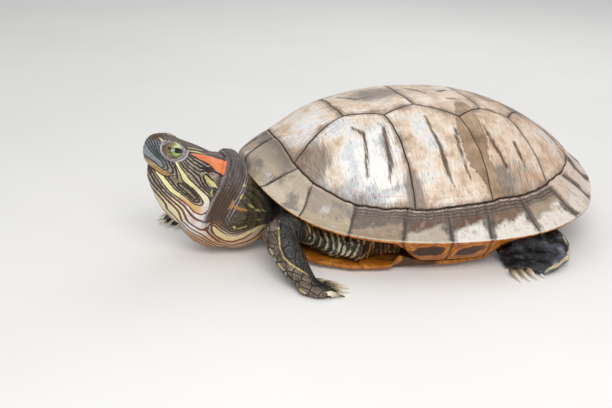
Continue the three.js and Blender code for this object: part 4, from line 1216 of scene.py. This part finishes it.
def bent_field(guides, spots):
    """Smooth field through numbered guide lines, and how fast it changes per millimetre."""
    points, numbers = [], []
    for number, *line in guides:
        line = mm(np.array(line))
        reach = np.concatenate([[0], np.cumsum(np.hypot(*np.diff(line, axis=0).T))])
        steps = np.linspace(0, reach[-1], max(2, int(reach[-1] / GUIDE_STEP) + 1))
        points.append(np.stack([np.interp(steps, reach, line[:, n]) for n in (0, 1)], 1))
        numbers += [number] * len(steps)
    points = np.concatenate(points)
    count = len(points)

    def apart(a):
        gap = a[:, None] - points[None]
        return gap, (gap**2).sum(2) + 1e-9

    _, r2 = apart(points)
    system = np.zeros((count + 3, count + 3))
    system[:count, :count] = 0.5 * r2 * np.log(r2) + GUIDE_SLACK * np.eye(count)
    system[:count, count:] = np.c_[np.ones(count), points]
    system[count:, :count] = system[:count, count:].T
    weight = np.linalg.solve(system, np.array(numbers + [0, 0, 0], float))
    field, pace = np.zeros(len(spots)), np.zeros(len(spots))
    for start in range(0, len(spots), CHUNK):
        part = slice(start, start + CHUNK)
        gap, r2 = apart(spots[part])
        tilt = spots[part] @ weight[count + 1:]
        field[part] = (0.5 * r2 * np.log(r2)) @ weight[:count] + weight[count] + tilt
        slope = [(gap[:, :, n] * (np.log(r2) + 1)) @ weight[:count] + weight[count + 1 + n] for n in (0, 1)]
        pace[part] = np.hypot(*slope)
    return field, pace


def to_stripes(spots, families):
    """Millimetres from each point to the nearest stripe of each family; less than 0 inside one."""
    return {name: np.min([to_line(spots, mm(np.array(line)), half) for line, half in stripes], axis=0)
            for name, stripes in families.items()}


def eye_frame():
    """Axes of the eye opening: the gaze, along the lids towards the snout, and up the eyeball."""
    along = np.array([1.0, 0.0, 0.32])
    along -= GAZE * (along @ GAZE)
    along /= np.linalg.norm(along)
    return GAZE, along, np.cross(along, GAZE)


def eyelids(fwd, out, up):
    """Two rings round the eye, both 1 on a lid's edge: of the opening and of the outer lid."""
    d = mm(np.stack([fwd - EYE["fwd"], out - EYE["side"], up - EYE["up"]], 1))
    depth, along, high = (d @ axis for axis in eye_frame())
    near_eye = (depth > 0) & (fwd > 0.63) & (up > 0.2)
    opening = np.abs((along - 0.4) / 4.7) ** 1.8 + np.abs((high - 1.5) / 3.3) ** 1.8
    lid_in = np.where(near_eye, opening ** (1 / 1.8), FAR)
    lid_out = np.where(near_eye, np.hypot((along + 0.4) / 7.1, (high - 2.0) / 5.5), FAR)
    # a thick inner roll, a groove, a thin outer roll, a groove round it all, and the hole of the eye
    lift = 0.55 * hump(lid_in, 1.22, 0.2) + 0.3 * hump(lid_out, 0.93, 0.07)
    lift -= 0.35 * hump(lid_out, 1.05, 0.05) + 0.18 * hump(lid_out, 0.84, 0.03)
    return lid_in, lid_out, lift - 3.2 * smooth(1.06, 0.9, lid_in)


def head_and_neck(mesh, co):
    """Notes every mark of head and neck and returns how far each vertex is lifted, in millimetres."""
    fwd, left, up = lengths(co)
    out = np.abs(left - HEAD_SIDE)
    spots = mm(np.stack([fwd, out, up], 1))
    lid_in, lid_out, lift = eyelids(fwd, out, up)
    # mouth, beak and nostrils
    mouth = np.where(fwd > 0.66, to_line(spots[:, [0, 2]], mm(MOUTH)), FAR)
    lip, beak_top = [np.interp(fwd, *line[::-1].T) for line in (MOUTH, BEAK_TOP)]
    beak = np.where((up > lip - 0.001) & (fwd > 0.69), mm(up - beak_top), FAR)
    lift -= 0.7 * hump(mouth, 0, 0.42)
    lift += 0.25 * smooth(0.3, -0.4, beak)
    for hole in NOSTRILS:
        gap = np.linalg.norm(mm(np.stack([fwd, left, up], 1) - (hole + [0, HEAD_SIDE, 0])), axis=1)
        lift -= 0.9 * hump(gap, 0, 0.7)
    # thin lines: the underside of the throat is unrolled so that they go on across it
    on_head = smooth(0.44, 0.5, fwd) * (out < 0.13)
    chosen = on_head > 0
    under = 0.8 * np.maximum(0, 0.062 - out) * smooth(0.16, 0.1, up)
    field, pace = np.full(len(co), 0.5), np.full(len(co), 0.01)
    field[chosen], pace[chosen] = bent_field(GUIDES, mm(np.stack([fwd, up - under], 1)[chosen]))
    lift += 0.05 * on_head * np.cos(2 * math.pi * field) * (lid_out > 1.1)
    # the fold of neck skin behind the head; share is 0 at its rear edge and 1 at its front edge
    front, rear = through(FOLD_FRONT, up), through(FOLD_REAR, up)
    share = (fwd - rear) / (front - rear)
    fold = smooth(0.085, 0.125, up) * (share > -0.3) * (share < 1.4) * (out < 0.14)
    behind = mm(front - fwd)
    lift += fold * (0.5 * hump(behind, 1.4, 1.2) - 1.1 * hump(behind, -0.5, 0.8))
    crease = np.cos(2 * math.pi * behind / CREASE + 2.2 * wrinkle(co, 0.012, 3.0))
    crease *= 0.6 + 0.6 * wrinkle(co, 0.006, 8.0)
    crease *= 1 - 0.5 * smooth(0.2, 0.4, share) * smooth(0.95, 0.8, share)
    lift += fold * smooth(-0.1, 0.5, behind) * smooth(1.02, 0.9, 1 - share) * 0.25 * crease
    gullet = [np.exp(-(((fwd - a) / along) ** 2) - ((up - b) / high) ** 2)
              for a, along, b, high in ((0.592, 0.022, 0.118, 0.035), (0.55, 0.035, 0.09, 0.02))]
    stripes = to_stripes(spots, HEAD_STRIPES)
    stripes["red"] = np.where(share > 0.97, stripes["red"], FAR)  # the fold covers its rear end
    note(
        mesh, **stripes, lid_in=lid_in, lid_out=lid_out, mouth=mouth, beak=beak, field=field, pace=pace,
        on_head=on_head, fwd_place=fwd, fold_share=share, crease=crease,
        high=smooth(0.17, 0.22, up),
        low=smooth(0.085, 0.05, up),
        throat=smooth(0.165, 0.125, up + (0.62 - fwd) * 0.3),
        snout=smooth(0.695, 0.715, fwd) * (up > lip),
        crown=smooth(-0.003, 0.004, up - np.interp(fwd, *CROWN.T)),
        temple=smooth(7.9, 8.1, field) * (up > 0.2),
        inner_neck=smooth(1.25, 1.1, field) * smooth(0.606, 0.59, fwd) * smooth(0.04, 0.05, up),
        # painted shadow in the groove just ahead of the neck fold
        pit=smooth(-5.5, -0.8, behind) * smooth(0.15, 0.17, up) * smooth(0.248, 0.235, up),
        gullet=gullet[0] + gullet[1],
        fold=fold * smooth(0.0, 0.05, share) * smooth(1.0, 0.98, share),
        nape=smooth(0.05, -0.05, share) * smooth(0.06, 0.085, up),
    )
    return lift


# %% [markdown]
# ## Legs and the skin round them
#
# Slider legs are almost black. The fore leg carries large flat scales down its front edge, each
# with a pale rim, and one thin yellow line; the web of the hind foot ends in a cream fringe. Behind
# the fore leg the loose skin of the flank hangs in pleats, pale on the crests. Places of the marks
# are again short guide lines; the pleats are rings about the root of the leg.

# %% Marks of legs and flank
# Stripes again: forward, left and up in shell lengths, then half widths in millimetres.
LEG_STRIPES = dict(leg_line=[
    ([(0.463, 0.216, 0.133), (0.474, 0.244, 0.12), (0.48, 0.272, 0.089), (0.477, 0.29, 0.071),
      (0.464, 0.309, 0.059), (0.439, 0.329, 0.045),
      (0.427, 0.338, 0.037)], [0.2, 0.4, 0.5, 0.5, 0.45, 0.4, 0.2]),
], leg_edge=[
    ([(0.502, 0.217, 0.112), (0.502, 0.226, 0.095), (0.5, 0.241, 0.081), (0.492, 0.266, 0.059),
      (0.482, 0.304, 0.043), (0.467, 0.338, 0.024), (0.462, 0.362, 0.017),
      (0.442, 0.381, 0.007)], [0.4, 0.5, 0.6, 0.7, 0.7, 0.7, 0.7, 0.4]),
], fringe=[
    ([(-0.262, 0.304, 0.056), (-0.257, 0.326, 0.052), (-0.257, 0.347, 0.046), (-0.258, 0.355, 0.036),
      (-0.247, 0.372, 0.031), (-0.232, 0.393, 0.028), (-0.219, 0.403, 0.03), (-0.196, 0.414, 0.024),
      (-0.161, 0.424, 0.02), (-0.145, 0.428, 0.014)], [0.2, 0.5, 0.7, 0.8, 0.9, 0.9, 0.9, 0.8, 0.6, 0.3]),
])
# left and forward: where the scaly front of the fore leg ends
LEG_FRONT = np.array([(0.21, 0.462), (0.244, 0.474), (0.272, 0.48), (0.29, 0.477), (0.309, 0.464),
                      (0.33, 0.438), (0.36, 0.42), (0.4, 0.4)])
PLEAT = 2.7  # millimetres from crest to crest
WEB_FOLD = 0.034  # shell lengths from fold to fold of the hind foot's web


def legs_and_flank(mesh, co):
    """Notes the marks of legs and flank and returns the lift of each vertex in millimetres."""
    fwd, left, up = lengths(co)
    side = np.abs(left)
    reach = mm(np.hypot(fwd - 0.425, (up - 0.085) * 0.8)) + 2.0 * wrinkle(co, 0.016, 5.0)
    flank = smooth(0.405, 0.385, fwd) * smooth(0.06, 0.12, fwd)
    flank = flank * smooth(0.13, 0.16, side) * smooth(0.13, 0.11, up)
    pleat = np.cos(2 * math.pi * reach / PLEAT) * (0.7 + 0.8 * wrinkle(co, 0.006, 6.0))
    fore = smooth(0.38, 0.41, fwd) * smooth(0.19, 0.21, side)
    hind = smooth(-0.05, -0.08, fwd) * smooth(0.2, 0.24, side)
    furrow = wrinkle(co * [1.0, 1.0, 0.35], 0.0055, 2.0)
    stripes = to_stripes(mm(np.stack([fwd, left, up], 1)), LEG_STRIPES)
    note(
        mesh, **stripes, flank=flank, pleat=pleat, fore=fore, hind=hind, furrow=furrow,
        front=fore * smooth(-0.004, 0.006, fwd - np.interp(side, *LEG_FRONT.T)),
        warm=np.maximum(smooth(0.33, 0.22, fwd), 0.8 * smooth(0.07, 0.095, up)),
    )
    # the folds of the web fan out from the ankle to the toes
    web = np.cos(2 * math.pi * (left * 0.8 + fwd * 0.35) / WEB_FOLD + 1.5 * furrow)
    folds = hind * (0.55 * furrow + 0.35 * web * smooth(-0.1, -0.14, fwd))
    return 0.45 * flank * pleat + folds + 0.3 * smooth(0.4, -0.2, stripes["leg_edge"])


# %% Skin finish
def neck_fold(f, cloud):
    """The brown hood of skin behind the head, slate above, with pale edges; on the crests of the rear creases
    the pale is a painted highlight.
    """
    share, creases = f["fold_share"], f.band(f["crease"], -1, 1)
    tone = creases * 0.7 + cloud * 0.3
    edges = f.math("MAXIMUM", f.band(share, 0.9, 0.97), f.band(share, 0.3, 0.15) * f.band(creases, 0.3, 0.7))
    return f.layers(
        f.ramp(tone, "20 281a11", "50 483324", "85 6c5342"),
        (f["high"] * 0.6, f.ramp(tone, "30 2b2422", "80 85797c")),
        # pale edges: a line along the front edge, and painted highlight on the crests of the rear creases
        (edges * 0.8, f.ramp(cloud, "35 8b7f88", "65 b9afb6")),
        (f.band(f["fold_blotch"], -0.2, 0.2, 0.95, 0), "d8c37c"),
    )


def eyelid(f, p, cloud, fine):
    lid_in, lid_out = f["lid_in"], f["lid_out"]
    ring = f.band(lid_out, 0.87, 0.91) * f.band(lid_out, 0.97, 1.0, 1, 0)
    return f.layers(
        f.ramp(fine * 0.6 + cloud * 0.4, "35 6d6468", "50 968b8e", "65 b9adad"),
        (f.band(f.noise(p, 1500.0, 2, 0.7), 0.5, 0.62, 0, 0.7), "5d5355"),
        (f.band(lid_in, 1.0, 1.15, 0.8, 0), "4c3f3c"),
        (ring * 0.8, "cdc2c8"),
        (f.band(lid_out, 0.8, 0.84) * f.band(lid_out, 0.86, 0.89, 0.7, 0), "554a50"),
    )


def face_tone(f, p, cloud, fine):
    """Colours of head and neck, laid over one another from the ground tone to the sharpest mark."""
    throat, snout, low, fwd = (f[n] for n in ("throat", "snout", "low", "fwd_place"))
    gullet, cream = f["gullet"], f["cream"]
    drift = f["field"] + (cloud - 0.5) * 0.25
    from_line = abs(drift - f.math("ROUND", drift)) / f.math("MAXIMUM", f["pace"], 0.13)
    from_line = from_line + (fine - 0.5) * 0.35 - throat * 0.12
    dark = f.band(from_line, 0.32, 0.62, 1, 0)
    pale = f.layers(
        f.ramp(fine, "30 6f6156", "50 9c8c7d", "70 c6b9a2"),
        (throat, f.ramp(cloud, "32 cfa680", "44 e0d0c8", "58 f0edec")),
        (f.band(fwd, 0.655, 0.675, 0, 0.75) * throat, "eadfa9"),
        (low * 0.75, "cf9a5c"),
        (gullet, f.ramp(fine, "35 7d4f30", "65 b5835a")),
        (f["temple"] * 0.8, "4b3a28"),
        (snout, f.ramp(fine, "35 767c82", "65 a7adaf")),
    )
    line = f.layers(
        f.ramp(cloud, "35 1d1613", "65 3a2b23"),
        (throat, f.ramp(cloud, "35 55321f", "65 7d4f3a")),
        (low * 0.7, "7a451f"),
        (snout, "3f4248"),
    )
    # the gap between lines 0 and 1 is a wide yellow one, cream to the rear
    wide = f.band(drift, 0.02, 0.12) * f.band(drift, 0.88, 0.98, 1, 0) * f.band(snout, 0.0, 0.5, 1, 0)
    wide_tone = f.layers(
        f.ramp(fine, "30 e8dfa0", "70 f7f1b8"),
        (f.band(throat, 0.05, 0.5), "dfb27a"),
        (f.band(fwd, 0.637, 0.62) * 0.8, f.ramp(cloud, "40 ecdfb8", "60 ece8e4")),
    )
    nape = f.mix(dark * 0.7, f.ramp(fine, "35 372f22", "70 6d634a"), "1b1712")
    rings = f.band(f.math("SINE", cream * 4.3), 0.0, 0.5)
    on_lid = f.band(f["lid_out"], 1.0, 1.04, 1, 0) * f.band(f["lid_in"], 0.95, 1.02)
    return f.layers(
        f.mix(dark, pale, line),
        # painted shadow ahead of the neck fold
        (f["pit"] * 0.8, "1a1614"),
        (wide, wide_tone),
        (f["crown"], f.ramp(cloud, "30 33261a", "70 6b5138")),
        (f.math("MAXIMUM", f["nape"], f["inner_neck"]), nape),
        (f.band(gullet, 0.12, 0.4) * rings, "432818"),
        (f.band(cream, -0.2, 0.15, 0.95, 0), f.ramp(fine, "30 d8bf7e", "70 efe2b6")),
        (f.band(f["neck_mark"], -0.2, 0.1, 0.9, 0), "b3ac68"),
        (f["fold"], neck_fold(f, cloud)),
        (f.band(f["orange"], -0.2, 0.15, 0.9, 0), "b5813c"),
        (f.band(f["yellow"], -0.15, 0.15, 0.95, 0), "dcd088"),
        (f.band(f["red"], -0.15, 0.2, 0.97, 0), f.ramp(cloud, "30 dd6c38", "70 ff9d66")),
        (on_lid, eyelid(f, p, cloud, fine)),
        (f.band(f["beak"], -0.3, 0.3, 0.9, 0), f.ramp(fine, "30 ad7f45", "70 e3c285")),
        # the mouth line, near-black: painted shade in its groove
        (f.band(f["mouth"], 0.2, 0.5, 0.95, 0), "2a1c14"),
    )


def leg_tone(f, p, cloud, fine, scales):
    """Near-black legs, darkened further as painted shade from the shell, scale gaps and rims, the yellow
    line, the fringe and the striped flank.
    """
    fore, front = f["fore"], f["front"]
    blend = cloud * 0.6 + fine * 0.4
    # mottle that follows the furrows: painted light and shade on the folds of the web
    mottle_and_fold_shade = f.noise(p, 170.0, 5, 0.62) + f["furrow"] * 0.2
    # pale scale rims, fading away from the front edge as painted shade under the shell
    rims = f.band(scales, 0.16, 0.1) * f.band(front, 0.0, 1.0, 0.45, 1.0) * fore
    rims = rims * f.band(cloud, 0.35, 0.6, 0.05, 0.5)
    patches = f.noise(p, 330.0, 4, 0.7) + cloud - 1.0
    crest = f.band(f["pleat"] + patches * 3.2, 0.0, 0.6)
    cool = f.mix(crest, f.ramp(cloud, "35 16140f", "65 3a3020"),
                 f.ramp(blend, "38 6d6a4c", "50 a9a783", "62 cdd2c2"))
    rust = f.mix(crest, f.ramp(cloud, "35 2a190b", "65 5f3a15"),
                 f.ramp(blend, "38 74491a", "50 aa7533", "62 cfa56b"))
    dashes = f.band(f["leg_edge"], 0.1, 0.5, 0.9, 0) * f.band(scales, 0.05, 0.12)
    return f.layers(
        # near-black ground, darker than the skin itself as painted shade from the shell
        f.ramp(blend, "35 0e0f11", "50 212121", "68 413e3b"),
        (front * 0.9, f.ramp(blend, "36 3f332b", "50 6c5a4d", "64 948272")),
        # hind foot: pale blue-grey on fold crests is painted highlight, the dark furrows painted shade
        (f["hind"] * 0.9, f.ramp(mottle_and_fold_shade, "34 101114", "50 2a2b2f", "62 555b64", "76 89919a")),
        (rims, "8f8672"),
        (f.band(scales, 0.075, 0.03) * fore * 0.9, "14110f"),
        (f["flank"], f.mix(f["warm"], cool, rust)),
        (f.band(f["leg_line"], -0.1, 0.2, 0.95, 0), f.ramp(fine, "35 b79b4e", "65 d6c584")),
        (dashes, f.ramp(fine, "35 a08d62", "65 d9cb9c")),
        (f.band(f["fringe"], -0.1, 0.5, 0.9, 0), f.ramp(fine, "35 b99a6c", "65 ecdcb8")),
    )


def slider_skin():
    f = Finish("slider_skin")
    p = f.position()
    cloud, fine = f.noise(p, 140.0, 3, 0.6), f.noise(p, 900.0, 2, 0.6)
    scales = f.cells(p, 205.0)
    base = f.mix(f["on_head"], leg_tone(f, p, cloud, fine, scales), face_tone(f, p, cloud, fine))
    grain = f.cells(p, 700.0) * 1.2 + fine * 0.5
    plates = f.band(scales, 0.0, 0.1) * f["fore"] * 2.2
    return f.done(base, 0.42, f.relief(grain + plates, 0.0003, 0.8), Specular_IOR_Level=0.5)


# %% Skin in place
MARK_EDGE = 0.7  # millimetres of finer grid round a mark


def near_marks(fwd, left, up):
    """True along the narrow marks, which need a finer grid than the skin round them."""
    gaps = []
    for side, families in ((np.abs(left - HEAD_SIDE), HEAD_STRIPES), (left, LEG_STRIPES)):
        gaps += to_stripes(mm(np.stack([fwd, side, up], 1)), families).values()
    return np.min(gaps, axis=0) < MARK_EDGE


refine(bm, near_marks)
split_large_faces(bm)
print("skin triangles:", sum(len(f.verts) - 2 for f in bm.faces))
skin = link_piece("skin", bm, slider_skin(), "skin", *FLESH).data
co = vertices(skin)
lift = head_and_neck(skin, co) + legs_and_flank(skin, co)
co = push(co, normals(skin), lift)
co[:, 2] = np.maximum(co[:, 2], 0.0)  # soles and throat rest on the ground
move_vertices(skin, co)
print("skin vertices:", len(co))

# %% [markdown]
# ## Eyes
#
# The eyeball is a wet dark ball with a green-yellow iris. A dark bar runs through the round pupil
# along the lids, so the iris reads as two bright half moons. One sphere and a finish that measures
# from the line of sight are enough; the wetness is a clear coat.


# %% Eyeballs
def eye_finish(name, centre, side):
    f = Finish(name)
    _, along, high = eye_frame()
    off = f.add("ShaderNodeVectorMath", "Vector", {0: f.position(), 1: tuple(centre)}, operation="SUBTRACT")

    def reach(axis):
        """Eye radii from the middle of the eyeball along one of its axes."""
        world_axis = (-axis[0], -side * axis[1], axis[2])
        span = f.number("ShaderNodeVectorMath", "Value", {0: off, 1: world_axis}, operation="DOT_PRODUCT")
        return span / (EYE["radius"] * MM)

    a, b = reach(along) + 0.33, reach(high) - 0.42
    radial = f.radius(a, b)
    spokes = f.noise(f.position(), 1500.0, 2, 0.6)
    ring = radial + (spokes - 0.5) * 0.22
    iris = f.mix(f.band(b, -0.2, 0.3), f.ramp(ring, "20 b9cf70", "42 8fa658", "58 46602c"),
                 f.ramp(ring, "20 e6e6b0", "42 c3c480", "58 7c7440"))
    white = f.mix(f.band(a, 0.1, 0.5), "1b1a12", f.ramp(spokes, "35 3d3222", "55 7d6a44", "70 b3a070"))
    bar = abs(b) / f.band(abs(a), 0.0, 0.75, 0.24, 0.08)
    base = f.layers(
        iris,
        (f.band(radial, 0.56, 0.66), white),
        (f.band(bar, 0.8, 1.1, 1, 0) * f.band(abs(a - 0.12), 0.85, 0.7), "100e0b"),
        (f.band(radial, 0.2, 0.25, 1, 0), "050505"),
    )
    return f.done(base, 0.12, Coat_Weight=1.0, Coat_Roughness=0.03, Specular_IOR_Level=0.5)


EYE_GAP = 0.1  # millimetres between the eyeball and its socket
for node, side in zip(EYES, (1, -1)):
    centre = place(EYE["fwd"], HEAD_SIDE + side * EYE["side"], EYE["up"])
    bm = bmesh.new()
    bmesh.ops.create_uvsphere(bm, u_segments=48, v_segments=32, radius=(EYE["radius"] - EYE_GAP) * MM)
    bmesh.ops.rotate(bm, verts=bm.verts, matrix=Matrix.Rotation(math.radians(90), 3, "X"))
    bmesh.ops.translate(bm, verts=bm.verts, vec=Vector(centre))
    link_piece(f"{node}ball", bm, eye_finish(f"{node}_wet", centre, side), "eye", node)
print("eyes in place")

# %% [markdown]
# ## Claws
#
# Each claw is a curved cone of horn, pale at the tip. The solid already has its length and bend,
# so a welded copy rounded by a subdivision surface is all that is left to do.


# %% Claws
def claw_horn():
    f = Finish("claw_horn")
    streaks = f.noise(f.stretch(f.position(), (1.0, 1.0, 0.4)), 700.0, 2, 0.5)
    root = f["from_tip"] + (streaks - 0.5) * 3.0
    tone = f.ramp(f.band(root, 1.0, 12.0), "0 f2e9da", "45 d3c3a8", "75 9d8a70", "100 5d5044")
    return f.done(tone, 0.35, f.relief(streaks, 0.0001, 0.5))


claw_finish = claw_horn()
claw_nodes = sorted(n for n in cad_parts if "_claw_" in n)
for node in claw_nodes:
    name = node.replace("_claw_", "_horn_claw_")
    claw = link_piece(name, merged_copy(node), claw_finish, "claw_horn", node)
    co = vertices(claw.data)
    tip = co[np.argmax(np.linalg.norm(co - co.mean(0), axis=1))]
    note(claw.data, from_tip=np.linalg.norm(co - tip, axis=1) / MM)
    rounding = claw.modifiers.new("rounding", "SUBSURF")
    rounding.levels = rounding.render_levels = 2
print("claws:", len(claw_nodes))
